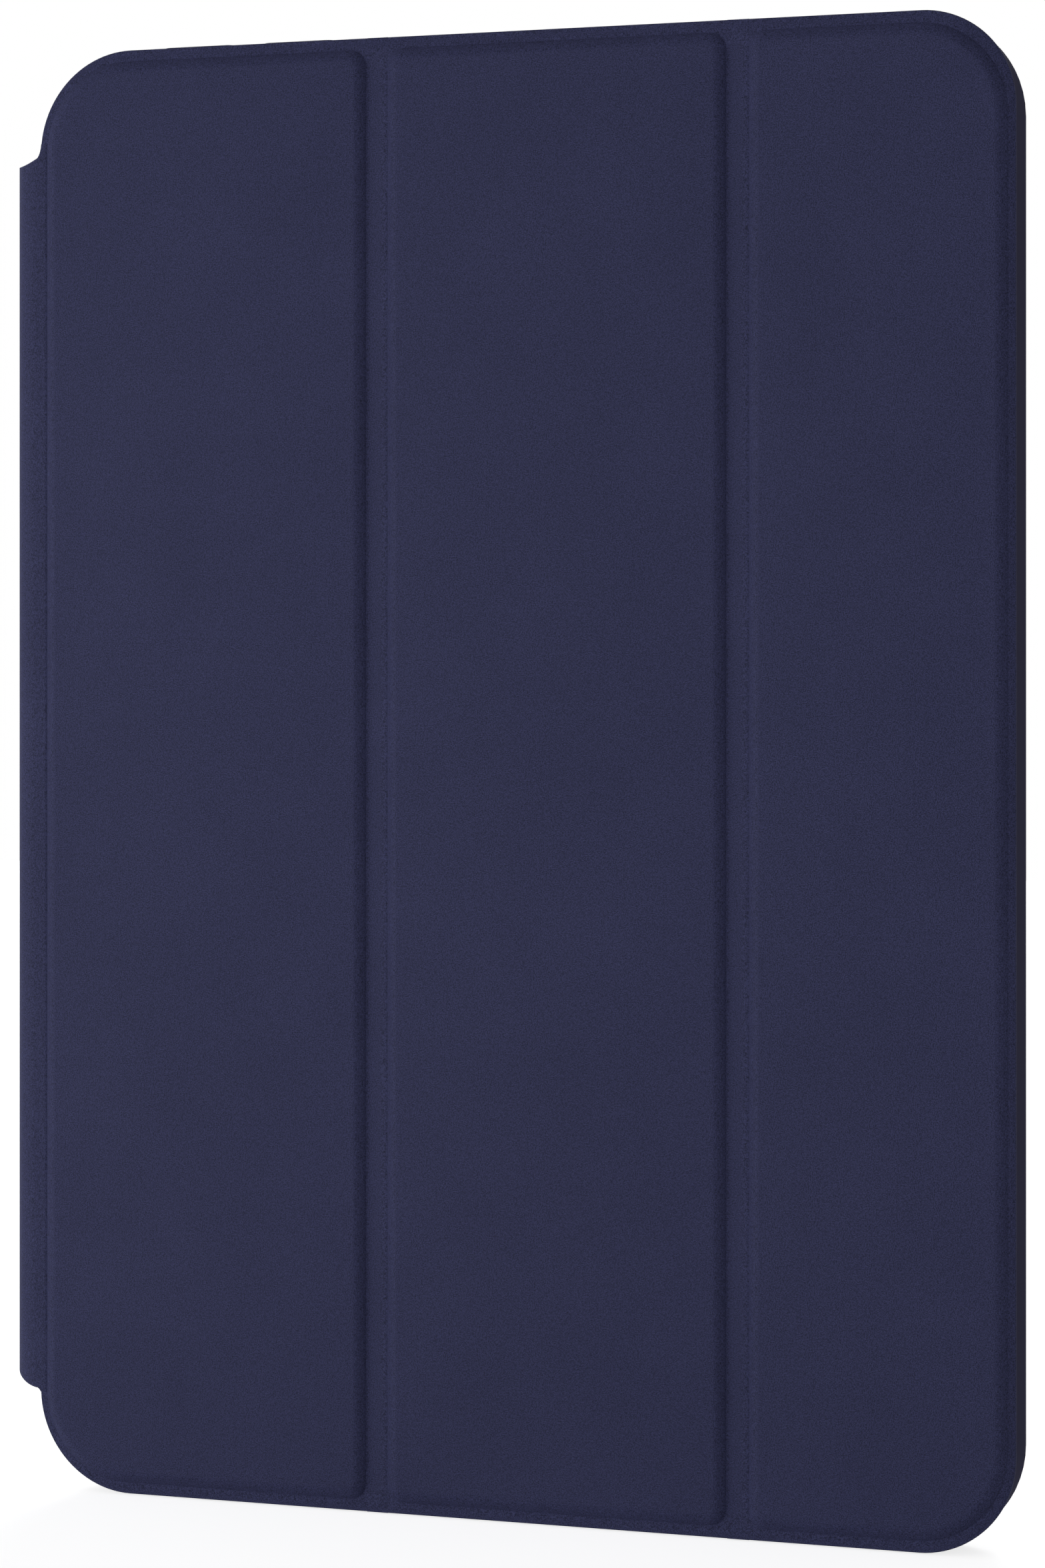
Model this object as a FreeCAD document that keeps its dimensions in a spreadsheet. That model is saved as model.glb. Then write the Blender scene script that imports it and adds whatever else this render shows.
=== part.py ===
import FreeCAD, Part
import math
import os
import Sketcher
from FreeCAD import Vector

# A three-panel folio case for a small tablet, closed and standing on its bottom edge.
# X runs to the right along the cover, Y runs back through the case, Z is up. The origin is at the
# middle of the case's footprint. All sizes are millimetres and degrees.

doc = FreeCAD.newDocument("tablet_folio")

# Driving sizes, each set by itself
SIZES = {
    # the tablet that the tray is made for, and the room round it
    "tablet_width": 134.8,
    "tablet_height": 195.4,
    "tablet_thickness": 6.3,
    "tablet_corner": 11.9,
    "tablet_gap": 0.2,
    "tablet_slack": 0.05,
    # the tray: moulded rim, back plate let into it, and the soft pad on the plate
    "wall": 1.3,
    "lip": 0.6,
    "lip_reach": 0.8,
    "floor_plate": 1.2,
    "floor_rebate": 0.4,
    "liner": 0.35,
    "liner_margin": 0.8,
    "rim_front_round": 0.35,
    "rim_back_round": 0.7,
    # leather on the back, which stops short of the rim's rounded edge
    "back_skin": 0.8,
    "back_margin": 0.3,
    # camera window, from the tray's right side and top, with a collar that lines the leather's edge
    "camera_radius": 7.0,
    "camera_from_side": 14.5,
    "camera_from_top": 14.5,
    "collar_wall": 0.8,
    "collar_gap": 0.1,
    # slots in the rim's bottom and top walls, placed from the tray's middle or its inner corners
    "port_length": 13.0,
    "port_width": 6.0,
    "power_length": 18.0,
    "power_width": 6.0,
    "power_from_corner": 2.5,
    "low_speaker_length": 18.0,
    "speaker_width": 2.2,
    "low_speaker_from_middle": 38.0,
    # volume keys in the top wall
    "key_length": 11.0,
    "key_width": 3.0,
    "key_gap": 0.25,
    "key_proud": 0.4,
    "key_round": 0.3,
    "key_flange": 0.4,
    "key_flange_reach": 0.8,
    "key_seat_gap": 0.1,
    "key_spacing": 4.0,
    "key_from_corner": 2.2,
    # the cover's layers, and its place round the tray
    "skin": 0.7,
    "board": 0.9,
    "lining": 0.6,
    "cover_gap": 0.3,
    "cover_inset": 0.2,
    "overhang_left": 0.2,
    "overhang_right": 1.2,
    "corner_ease": 0.3,
    # panels along the cover: pressed rim, raised panel, groove
    "rim_left": 1.0,
    "rim_right": 0.8,
    "rim_end": 1.5,
    "end_panel_width": 35.0,
    "groove": 3.0,
    "fold_corner": 2.4,
    "shoulder_slope": 30.0,
    "shoulder_round": 1.3,
    "board_margin": 1.6,
    "board_fold_corner": 0.8,
    "lining_inset": 0.15,
    # the spine: how far it stands out, its roundness, and its slanted ends
    "spine_reach": 4.95,
    "spine_round": 4.2,
    "spine_corner_lap": 0.2,
    "spine_slant": 1.2,
    "spine_end_round": 1.4,
    "stiffener": 0.5,
    # magnets let into the boards
    "magnet_length": 14.0,
    "magnet_width": 5.0,
    "magnet_gap": 0.1,
    "magnet_edge": 3.0,
    "magnet_spacing": 62.0,
    "sleep_magnet_size": 8.0,
}

# Places and sizes that follow from the driving ones
PLACES = {
    "tray_width": "sizes.tablet_width + 2 * (sizes.tablet_gap + sizes.wall)",
    "tray_height": "sizes.tablet_height + 2 * (sizes.tablet_gap + sizes.wall)",
    "bay_depth": "sizes.liner + sizes.tablet_thickness + sizes.tablet_slack",
    "tray_depth": "sizes.lip + bay_depth + sizes.floor_plate",
    "cover_width": "tray_width + sizes.overhang_left + sizes.overhang_right",
    "raised_width": "cover_width - sizes.rim_left - sizes.rim_right - 2 * sizes.groove",
    "panel_width": "(raised_width - sizes.end_panel_width) / 2",
    "whole_width": "sizes.spine_reach + cover_width",
    "cover_depth": "sizes.skin + sizes.board + sizes.lining",
    "whole_depth": "cover_depth + sizes.cover_gap + tray_depth + sizes.back_skin",
    "back_inset": "sizes.rim_back_round + sizes.back_margin",
    # along X
    "cover_right": "whole_width / 2",
    "cover_left": "cover_right - cover_width",
    "tray_left": "cover_left + sizes.overhang_left",
    "tray_right": "tray_left + tray_width",
    "tray_middle": "tray_left + tray_width / 2",
    "bay_left": "tray_left + sizes.wall",
    "bay_right": "tray_right - sizes.wall",
    "lip_left": "bay_left + sizes.lip_reach",
    "lip_right": "bay_right - sizes.lip_reach",
    "floor_left": "bay_left - sizes.floor_rebate",
    "floor_right": "bay_right + sizes.floor_rebate",
    "liner_left": "bay_left + sizes.liner_margin",
    "liner_right": "bay_right - sizes.liner_margin",
    "back_left": "tray_left + back_inset",
    "back_right": "tray_right - back_inset",
    "pad_1_left": "cover_left + sizes.rim_left",
    "pad_1_right": "pad_1_left + panel_width",
    "pad_2_left": "pad_1_right + sizes.groove",
    "pad_2_right": "pad_2_left + panel_width",
    "pad_3_left": "pad_2_right + sizes.groove",
    "pad_3_right": "pad_3_left + sizes.end_panel_width",
    "board_1_left": "pad_1_left + sizes.board_margin",
    "board_1_right": "pad_1_right - sizes.board_margin",
    "board_2_left": "pad_2_left + sizes.board_margin",
    "board_2_right": "pad_2_right - sizes.board_margin",
    "board_3_left": "pad_3_left + sizes.board_margin",
    "board_3_right": "pad_3_right - sizes.board_margin",
    "lining_left": "cover_left + sizes.lining_inset",
    "lining_right": "cover_right - sizes.lining_inset",
    "spine_seam": "cover_left - sizes.spine_reach + sizes.spine_round",
    "front_hinge_width": "pad_1_left - spine_seam",
    "back_hinge_width": "back_left - spine_seam",
    "camera_x": "tray_right - sizes.camera_from_side",
    "power_x": "bay_right - bay_corner - sizes.power_from_corner - sizes.power_length / 2",
    "volume_up_x": "bay_left + bay_corner + sizes.key_from_corner + flange_length / 2",
    "volume_down_x": "volume_up_x + sizes.key_length + sizes.key_spacing",
    # the top speaker slots share the room between the volume keys and the middle
    "high_speaker_room": "tray_middle - volume_down_x - window_length / 2",
    "high_speaker_from_middle": "high_speaker_room / 2",
    "high_speaker_length": "0.65 * high_speaker_room",
    "stand_magnet_x": "board_1_left + sizes.magnet_edge + sizes.magnet_width / 2",
    "closure_magnet_x": "board_3_right - sizes.magnet_edge - sizes.magnet_width / 2",
    # along Y
    "pad_front": "-whole_depth / 2",
    "skin_inner": "pad_front + sizes.skin + sizes.board",
    "cover_front": "skin_inner - sizes.skin",
    "cover_inner": "skin_inner + sizes.lining",
    "tray_front": "cover_inner + sizes.cover_gap",
    "tray_back": "tray_front + tray_depth",
    "floor_inner": "tray_back - sizes.floor_plate",
    "liner_inner": "floor_inner - sizes.liner",
    "bay_middle": "liner_inner - sizes.tablet_thickness / 2",
    "spine_depth": "tray_back + sizes.back_skin - cover_front",
    "spine_rear": "spine_depth - sizes.spine_round",
    # along Z
    "cover_low": "sizes.cover_inset",
    "cover_high": "tray_height - sizes.cover_inset",
    "cover_height": "cover_high - cover_low",
    "cover_middle": "tray_height / 2",
    "bay_low": "sizes.wall",
    "bay_high": "tray_height - sizes.wall",
    "lip_low": "bay_low + sizes.lip_reach",
    "lip_high": "bay_high - sizes.lip_reach",
    "floor_low": "bay_low - sizes.floor_rebate",
    "floor_high": "bay_high + sizes.floor_rebate",
    "liner_low": "bay_low + sizes.liner_margin",
    "liner_high": "bay_high - sizes.liner_margin",
    "back_low": "back_inset",
    "back_high": "tray_height - back_inset",
    "pad_low": "cover_low + sizes.rim_end",
    "pad_high": "cover_high - sizes.rim_end",
    "board_low": "pad_low + sizes.board_margin",
    "board_high": "pad_high - sizes.board_margin",
    "lining_low": "cover_low + sizes.lining_inset",
    "lining_high": "cover_high - sizes.lining_inset",
    "lining_height": "lining_high - lining_low",
    "spine_low": "cover_low + cover_corner - sizes.spine_corner_lap",
    "spine_high": "cover_high - cover_corner + sizes.spine_corner_lap",
    "spine_length": "spine_high - spine_low",
    "camera_z": "tray_height - sizes.camera_from_top",
    "sleep_magnet_z": "cover_middle + sizes.magnet_spacing / 2",
    # corner and bend radii
    "bay_corner": "sizes.tablet_corner + sizes.tablet_gap",
    "tray_corner": "bay_corner + sizes.wall",
    "cover_corner": "tray_corner + sizes.corner_ease",
    "lip_corner": "bay_corner - sizes.lip_reach",
    "floor_corner": "bay_corner + sizes.floor_rebate",
    "liner_corner": "bay_corner - sizes.liner_margin",
    "back_corner": "tray_corner - back_inset",
    "pad_corner": "cover_corner - sizes.rim_end",
    "board_corner": "pad_corner - sizes.board_margin",
    "lining_corner": "cover_corner - sizes.lining_inset",
    # the shoulder's rounding stays on its slope
    "slope_length": "sizes.board / cos(sizes.shoulder_slope)",
    "shoulder_limit": "0.95 * slope_length / tan(45 - sizes.shoulder_slope / 2)",
    "shoulder_round": "min(sizes.shoulder_round; shoulder_limit)",
    "stiffener_round": "sizes.spine_round - sizes.skin",
    "spine_lining_round": "stiffener_round - sizes.stiffener",
    "spine_hollow_round": "spine_lining_round - sizes.lining",
    "collar_radius": "sizes.camera_radius + sizes.collar_wall",
    "back_hole_radius": "collar_radius + sizes.collar_gap",
    "liner_hole_radius": "sizes.camera_radius + sizes.liner_margin",
    # slot ends, nearly half round
    "port_round": "0.45 * sizes.port_width",
    "power_round": "0.45 * sizes.power_width",
    "speaker_round": "0.45 * sizes.speaker_width",
    "key_end_round": "0.45 * sizes.key_width",
    "window_round": "key_end_round + sizes.key_gap",
    "flange_round": "key_end_round + sizes.key_flange_reach",
    "rebate_round": "flange_round + sizes.key_gap",
    # windows and flanges of the volume keys
    "window_length": "sizes.key_length + 2 * sizes.key_gap",
    "window_width": "sizes.key_width + 2 * sizes.key_gap",
    "flange_length": "sizes.key_length + 2 * sizes.key_flange_reach",
    "flange_width": "sizes.key_width + 2 * sizes.key_flange_reach",
    "rebate_length": "flange_length + 2 * sizes.key_gap",
    "rebate_width": "flange_width + 2 * sizes.key_gap",
    # pockets in the boards
    "magnet_pocket_length": "sizes.magnet_length + 2 * sizes.magnet_gap",
    "magnet_pocket_width": "sizes.magnet_width + 2 * sizes.magnet_gap",
    "sleep_pocket_size": "sizes.sleep_magnet_size + 2 * sizes.magnet_gap",
}

MAGNET_ROWS = (-1, 0, 1)


def add_sheet(name, cells, lead):
    sheet = doc.addObject("Spreadsheet::Sheet", name)
    for row, (alias, content) in enumerate(cells.items(), start=1):
        sheet.set(f"A{row}", alias)
        sheet.set(f"B{row}", f"{lead}{content}")
        sheet.setAlias(f"B{row}", alias)
    doc.recompute()
    return sheet


sheets = {"sizes": add_sheet("sizes", SIZES, ""), "places": add_sheet("places", PLACES, "=")}


def value(cell):
    sheet, alias = cell.split(".")
    return float(sheets[sheet].get(alias))


# Bodies, sketches and features


def new_body(label, **position):
    """A body placed by cells, given as x=, y= or z=."""
    body = doc.addObject("PartDesign::Body", label)
    body.Label = label
    for axis, expression in position.items():
        body.setExpression(f"Placement.Base.{axis}", expression)
    return body


def new_sketch(body, name, role, **offset):
    """A sketch on one of the body's own planes, shifted by x= and y= in the plane and z= along its normal."""
    sketch = body.newObject("Sketcher::SketchObject", name)
    plane = next(f for f in body.Origin.OriginFeatures if f.Role == role)
    sketch.AttachmentSupport = [(plane, "")]
    sketch.MapMode = "FlatFace"
    for axis, expression in offset.items():
        sketch.setExpression(f"AttachmentOffset.Base.{axis}", expression)
    return sketch


def bind(sketch, kind, references, cell):
    index = sketch.addConstraint(Sketcher.Constraint(kind, *references, value(cell)))
    name = f"{kind}{index}"
    sketch.renameConstraint(index, name)
    sketch.setExpression(f"Constraints.{name}", cell)


def add_line(sketch, start, end):
    return sketch.addGeometry(Part.LineSegment(Vector(*start, 0), Vector(*end, 0)))


def add_arc(sketch, centre, radius, start, end):
    circle = Part.Circle(Vector(*centre, 0), Vector(0, 0, 1), radius)
    return sketch.addGeometry(Part.ArcOfCircle(circle, math.radians(start), math.radians(end)))


def join(sketch, kind, first, first_point, second, second_point):
    """Ties two curves, Coincident or Tangent, at their starts (1), ends (2) or centres (3)."""
    sketch.addConstraint(Sketcher.Constraint(kind, first, first_point, second, second_point))


def rounded_loop(sketch, box, radii):
    """Four sides and their corner arcs, from low left round to high left. None is a sharp corner."""
    x0, x1, y0, y1 = box
    r0, r1, r2, r3 = (value(cell) if cell else 0.0 for cell in radii)
    sides = [
        add_line(sketch, (x0 + r0, y0), (x1 - r1, y0)),
        add_line(sketch, (x1, y0 + r1), (x1, y1 - r2)),
        add_line(sketch, (x1 - r2, y1), (x0 + r3, y1)),
        add_line(sketch, (x0, y1 - r3), (x0, y0 + r0)),
    ]
    centres = ((x0 + r0, y0 + r0), (x1 - r1, y0 + r1), (x1 - r2, y1 - r2), (x0 + r3, y1 - r3))
    for side, kind in zip(sides, ("Horizontal", "Vertical", "Horizontal", "Vertical")):
        sketch.addConstraint(Sketcher.Constraint(kind, side))
    for corner, cell in enumerate(radii):
        before, after = sides[corner - 1], sides[corner]
        if cell is None:
            join(sketch, "Coincident", before, 2, after, 1)
            continue
        turn = 180 + 90 * corner
        arc = add_arc(sketch, centres[corner], value(cell), turn, turn + 90)
        join(sketch, "Tangent", before, 2, arc, 1)
        join(sketch, "Tangent", arc, 2, after, 1)
        bind(sketch, "Radius", (arc,), cell)
    return sides


def outline(sketch, left, right, low, high, radii=(None,) * 4):
    """An outline whose four sides lie at cells."""
    box = (value(left), value(right), value(low), value(high))
    bottom_side, right_side, top_side, left_side = rounded_loop(sketch, box, radii)
    bind(sketch, "DistanceX", (-1, 1, left_side, 1), left)
    bind(sketch, "DistanceX", (-1, 1, right_side, 1), right)
    bind(sketch, "DistanceY", (-1, 1, bottom_side, 1), low)
    bind(sketch, "DistanceY", (-1, 1, top_side, 1), high)


def centred_outline(sketch, across, up, radius=None):
    """An outline centred on the sketch's origin."""
    half_across, half_up = value(across) / 2, value(up) / 2
    box = (-half_across, half_across, -half_up, half_up)
    bottom_side, right_side, top_side, left_side = rounded_loop(sketch, box, (radius,) * 4)
    sketch.addConstraint(Sketcher.Constraint("Symmetric", bottom_side, 1, top_side, 1, -1, 1))
    bind(sketch, "DistanceX", (left_side, 1, right_side, 1), across)
    bind(sketch, "DistanceY", (bottom_side, 1, top_side, 1), up)


def add_circle(sketch, x_cell, z_cell, radius):
    centre = Vector(value(x_cell), value(z_cell), 0)
    circle = sketch.addGeometry(Part.Circle(centre, Vector(0, 0, 1), value(radius)))
    bind(sketch, "Radius", (circle,), radius)
    bind(sketch, "DistanceX", (-1, 1, circle, 3), x_cell)
    bind(sketch, "DistanceY", (-1, 1, circle, 3), z_cell)


def pad(body, sketch, length, reverse=False):
    feature = body.newObject("PartDesign::Pad", f"{sketch.Name}_pad")
    feature.Profile = sketch
    feature.Reversed = reverse
    feature.setExpression("Length", length)
    doc.recompute()
    return feature


def pocket(body, sketch, length, reverse=False):
    """Cuts a sketch, against its normal unless reversed, and makes sure that it cut."""
    before = body.Shape.Volume
    feature = body.newObject("PartDesign::Pocket", f"{sketch.Name}_pocket")
    feature.Profile = sketch
    feature.Reversed = reverse
    feature.setExpression("Length", length)
    doc.recompute()
    if not body.Shape.Volume < before:
        raise RuntimeError(f"{body.Label}: {sketch.Name} cut nothing")
    return feature


def flat_edges(shape, axis, place):
    """Names the edges that lie in one plane across an axis of the body, Y or Z."""
    tolerance = 1e-4
    found = []
    for number, edge in enumerate(shape.Edges, start=1):
        low = getattr(edge.BoundBox, f"{axis}Min")
        high = getattr(edge.BoundBox, f"{axis}Max")
        if abs(low - place) < tolerance and abs(high - place) < tolerance:
            found.append(f"Edge{number}")
    return found


def round_edges(body, base, edges, radius):
    feature = body.newObject("PartDesign::Fillet", f"{base.Name}_round")
    feature.Base = (base, edges)
    feature.setExpression("Radius", radius)
    doc.recompute()
    return feature


def box(label, size, corner):
    """A plain rectangular piece: size and low corner are three cells each."""
    piece = doc.addObject("Part::Box", label)
    piece.Label = label
    for side, expression in zip(("Length", "Width", "Height"), size):
        piece.setExpression(side, expression)
    for axis, expression in zip("xyz", corner):
        piece.setExpression(f"Placement.Base.{axis}", expression)
    return piece


# Tray rim: one soft moulded frame with a lip over the screen's edge, a rebate for the back plate, and
# slots for the port, the speakers, the power key and the two volume keys


def wall_cut(body, name, middle, size, height, depth, upward):
    """A rounded slot through the top or bottom wall, at the middle of the tablet's thickness."""
    sketch = new_sketch(
        body, name, "XY_Plane", x=middle, y="places.bay_middle - places.tray_front", z=height
    )
    centred_outline(sketch, *size)
    pocket(body, sketch, depth, reverse=upward)


def build_tray_rim():
    body = new_body("tray_rim", y="places.tray_front")
    middle = "places.tray_middle"
    block = new_sketch(body, "rim_outline", "XZ_Plane", x=middle, y="places.cover_middle")
    centred_outline(block, "places.tray_width", "places.tray_height", "places.tray_corner")
    solid = pad(body, block, "places.tray_depth", reverse=True)
    back = flat_edges(solid.Shape, "Y", value("places.tray_depth"))
    solid = round_edges(body, solid, back, "sizes.rim_back_round")
    round_edges(body, solid, flat_edges(solid.Shape, "Y", 0.0), "sizes.rim_front_round")

    opening = new_sketch(body, "lip_outline", "XZ_Plane")
    outline(
        opening,
        *("places.lip_left", "places.lip_right", "places.lip_low", "places.lip_high"),
        ("places.lip_corner",) * 4,
    )
    pocket(body, opening, "places.tray_depth")
    bay = new_sketch(body, "bay_outline", "XZ_Plane", z="-sizes.lip")
    outline(
        bay,
        *("places.bay_left", "places.bay_right", "places.bay_low", "places.bay_high"),
        ("places.bay_corner",) * 4,
    )
    pocket(body, bay, "places.tray_depth")
    rebate = new_sketch(body, "floor_outline", "XZ_Plane", z="sizes.floor_plate - places.tray_depth")
    outline(
        rebate,
        *("places.floor_left", "places.floor_right", "places.floor_low", "places.floor_high"),
        ("places.floor_corner",) * 4,
    )
    pocket(body, rebate, "sizes.floor_plate")

    port = ("sizes.port_length", "sizes.port_width", "places.port_round")
    power = ("sizes.power_length", "sizes.power_width", "places.power_round")
    low_speaker = ("sizes.low_speaker_length", "sizes.speaker_width", "places.speaker_round")
    high_speaker = ("places.high_speaker_length", "sizes.speaker_width", "places.speaker_round")
    window = ("places.window_length", "places.window_width", "places.window_round")
    key_rebate = ("places.rebate_length", "places.rebate_width", "places.rebate_round")
    through = "2 * sizes.wall"
    top = "places.tray_height"
    wall_cut(body, "port", middle, port, "0", through, True)
    for name, sign in (("left", "-"), ("right", "+")):
        low = f"{middle} {sign} sizes.low_speaker_from_middle"
        high = f"{middle} {sign} places.high_speaker_from_middle"
        wall_cut(body, f"low_speaker_{name}", low, low_speaker, "0", through, True)
        wall_cut(body, f"high_speaker_{name}", high, high_speaker, top, through, False)
    wall_cut(body, "power", "places.power_x", power, top, through, False)
    for key in ("volume_up", "volume_down"):
        place = f"places.{key}_x"
        seat = "sizes.key_flange + sizes.key_seat_gap"
        wall_cut(body, f"{key}_window", place, window, top, through, False)
        wall_cut(body, f"{key}_rebate", place, key_rebate, "places.bay_high", seat, True)
    return body


# Back plate: a stiff sheet let into the rim, with the camera window and its collar


def build_tray_floor():
    body = new_body("tray_floor", y="places.floor_inner")
    plate = new_sketch(body, "plate_outline", "XZ_Plane")
    outline(
        plate,
        *("places.floor_left", "places.floor_right", "places.floor_low", "places.floor_high"),
        ("places.floor_corner",) * 4,
    )
    pad(body, plate, "sizes.floor_plate", reverse=True)
    collar = new_sketch(body, "collar_outline", "XZ_Plane")
    add_circle(collar, "places.camera_x", "places.camera_z", "places.collar_radius")
    pad(body, collar, "sizes.floor_plate + sizes.back_skin - sizes.collar_gap", reverse=True)
    window = new_sketch(body, "camera_window", "XZ_Plane")
    add_circle(window, "places.camera_x", "places.camera_z", "sizes.camera_radius")
    pocket(body, window, "places.tray_depth")
    return body


# Liner: a thin soft pad glued to the plate, which the tablet lies on


def build_tray_liner():
    body = new_body("tray_liner", y="places.liner_inner")
    sheet = new_sketch(body, "liner_outline", "XZ_Plane")
    outline(
        sheet,
        *("places.liner_left", "places.liner_right", "places.liner_low", "places.liner_high"),
        ("places.liner_corner",) * 4,
    )
    pad(body, sheet, "sizes.liner", reverse=True)
    window = new_sketch(body, "liner_window", "XZ_Plane")
    add_circle(window, "places.camera_x", "places.camera_z", "places.liner_hole_radius")
    pocket(body, window, "places.tray_depth")
    return body


# Back leather: glued over the plate, stopping short of the rim's rounded edge


def build_back_skin():
    body = new_body("back_skin", y="places.tray_back")
    sheet = new_sketch(body, "back_outline", "XZ_Plane")
    outline(
        sheet,
        *("places.back_left", "places.back_right", "places.back_low", "places.back_high"),
        ("places.back_corner",) * 4,
    )
    pad(body, sheet, "sizes.back_skin", reverse=True)
    window = new_sketch(body, "back_window", "XZ_Plane")
    add_circle(window, "places.camera_x", "places.camera_z", "places.back_hole_radius")
    pocket(body, window, "places.tray_depth")
    return body


# Volume keys: capped pads that slide in the top wall, held in by a flange on the tablet's side


def build_key(key):
    body = new_body(
        f"{key}_button",
        x=f"places.{key}_x",
        y="places.bay_middle",
        z="places.bay_high",
    )
    flange = new_sketch(body, "flange", "XY_Plane")
    centred_outline(flange, "places.flange_length", "places.flange_width", "places.flange_round")
    pad(body, flange, "sizes.key_flange")
    cap = new_sketch(body, "cap", "XY_Plane")
    centred_outline(cap, "sizes.key_length", "sizes.key_width", "places.key_end_round")
    solid = pad(body, cap, "sizes.wall + sizes.key_proud")
    top = flat_edges(solid.Shape, "Z", value("sizes.wall") + value("sizes.key_proud"))
    round_edges(body, solid, top, "sizes.key_round")
    return body


# Spine: three formed layers, leather outside, a stiff strip, and lining inside, with slanted ends


def spine_section(sketch, outer, inner):
    """A C-shaped section between two bend radii, open towards the tray."""
    front, rear = value("sizes.spine_round"), value("places.spine_rear")
    out, hollow = value(outer), value(inner)
    outer_side = add_line(sketch, (-out, rear), (-out, front))
    outer_front = add_arc(sketch, (0, front), out, 180, 270)
    front_end = add_line(sketch, (0, front - out), (0, front - hollow))
    inner_front = add_arc(sketch, (0, front), hollow, 180, 270)
    inner_side = add_line(sketch, (-hollow, front), (-hollow, rear))
    inner_rear = add_arc(sketch, (0, rear), hollow, 90, 180)
    rear_end = add_line(sketch, (0, rear + hollow), (0, rear + out))
    outer_rear = add_arc(sketch, (0, rear), out, 90, 180)
    join(sketch, "Tangent", outer_side, 2, outer_front, 1)
    join(sketch, "Coincident", outer_front, 2, front_end, 1)
    join(sketch, "Coincident", front_end, 2, inner_front, 2)
    join(sketch, "Tangent", inner_front, 1, inner_side, 1)
    join(sketch, "Tangent", inner_side, 2, inner_rear, 2)
    join(sketch, "Coincident", inner_rear, 1, rear_end, 1)
    join(sketch, "Coincident", rear_end, 2, outer_rear, 1)
    join(sketch, "Tangent", outer_rear, 2, outer_side, 1)
    join(sketch, "Coincident", outer_front, 3, inner_front, 3)
    join(sketch, "Coincident", outer_rear, 3, inner_rear, 3)
    for arc in (outer_front, outer_rear):
        sketch.addConstraint(Sketcher.Constraint("PointOnObject", arc, 3, -2))
    for end, point in ((front_end, 1), (front_end, 2), (rear_end, 1), (rear_end, 2)):
        sketch.addConstraint(Sketcher.Constraint("PointOnObject", end, point, -2))
    bind(sketch, "Radius", (outer_front,), outer)
    bind(sketch, "Radius", (inner_front,), inner)
    bind(sketch, "DistanceY", (-1, 1, outer_front, 3), "sizes.spine_round")
    bind(sketch, "DistanceY", (-1, 1, outer_rear, 3), "places.spine_rear")


def spine_end(sketch):
    """The waste beyond the slanted, round-cornered top end, drawn from the seam at the end's height."""
    reach, drop = value("sizes.spine_round"), value("sizes.spine_slant")
    corner = value("sizes.spine_end_round")
    slope = math.atan2(drop, reach - corner)
    turn = (corner - reach - corner * math.sin(slope), -drop)
    centre = (corner - reach, -drop - corner * math.cos(slope))
    beyond = (-2 * reach, reach)
    slant = add_line(sketch, (0, 0), turn)
    round_over = add_arc(sketch, centre, corner, 90 + math.degrees(slope), 180)
    away = add_line(sketch, (-reach, centre[1]), (beyond[0], centre[1]))
    far = add_line(sketch, (beyond[0], centre[1]), beyond)
    over = add_line(sketch, beyond, (0, beyond[1]))
    back = add_line(sketch, (0, beyond[1]), (0, 0))
    join(sketch, "Coincident", slant, 1, -1, 1)
    join(sketch, "Tangent", slant, 2, round_over, 1)
    loop = (round_over, away, far, over, back, slant)
    for first, second in zip(loop, loop[1:]):
        join(sketch, "Coincident", first, 2, second, 1)
    for side, kind in ((away, "Horizontal"), (far, "Vertical"), (over, "Horizontal"), (back, "Vertical")):
        sketch.addConstraint(Sketcher.Constraint(kind, side))
    sketch.addConstraint(Sketcher.Constraint("Horizontal", round_over, 2, round_over, 3))
    bind(sketch, "Radius", (round_over,), "sizes.spine_end_round")
    bind(sketch, "DistanceY", (slant, 2, slant, 1), "sizes.spine_slant")
    bind(sketch, "DistanceX", (round_over, 2, -1, 1), "sizes.spine_round")
    bind(sketch, "DistanceX", (far, 1, round_over, 2), "sizes.spine_round")
    bind(sketch, "DistanceY", (-1, 1, over, 2), "sizes.spine_round")


def build_spine_layer(label, outer, inner):
    body = new_body(label, x="places.spine_seam", y="places.cover_front", z="places.cover_middle")
    section = new_sketch(body, "section", "XY_Plane", z="-places.spine_length / 2")
    spine_section(section, outer, inner)
    pad(body, section, "places.spine_length")
    end = new_sketch(
        body, "end_waste", "XZ_Plane", y="places.spine_length / 2", z="sizes.spine_round"
    )
    spine_end(end)
    cut = pocket(body, end, "places.spine_depth + 2 * sizes.spine_round")
    mirror = body.newObject("PartDesign::Mirrored", "other_end")
    mirror.Originals = [cut]
    level = next(f for f in body.Origin.OriginFeatures if f.Role == "XY_Plane")
    mirror.MirrorPlane = (level, [""])
    body.Tip = mirror
    doc.recompute()
    return body


# Panels: leather embossed over a stiff board, with lining behind. Panel 1 is notched on the left, where
# the spine's crease meets it


def spine_notch(body, depth):
    notch = new_sketch(body, "spine_notch", "XZ_Plane")
    outline(notch, "places.spine_seam", "places.pad_1_left", "places.spine_low", "places.spine_high")
    pocket(body, notch, depth, reverse=True)


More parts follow.
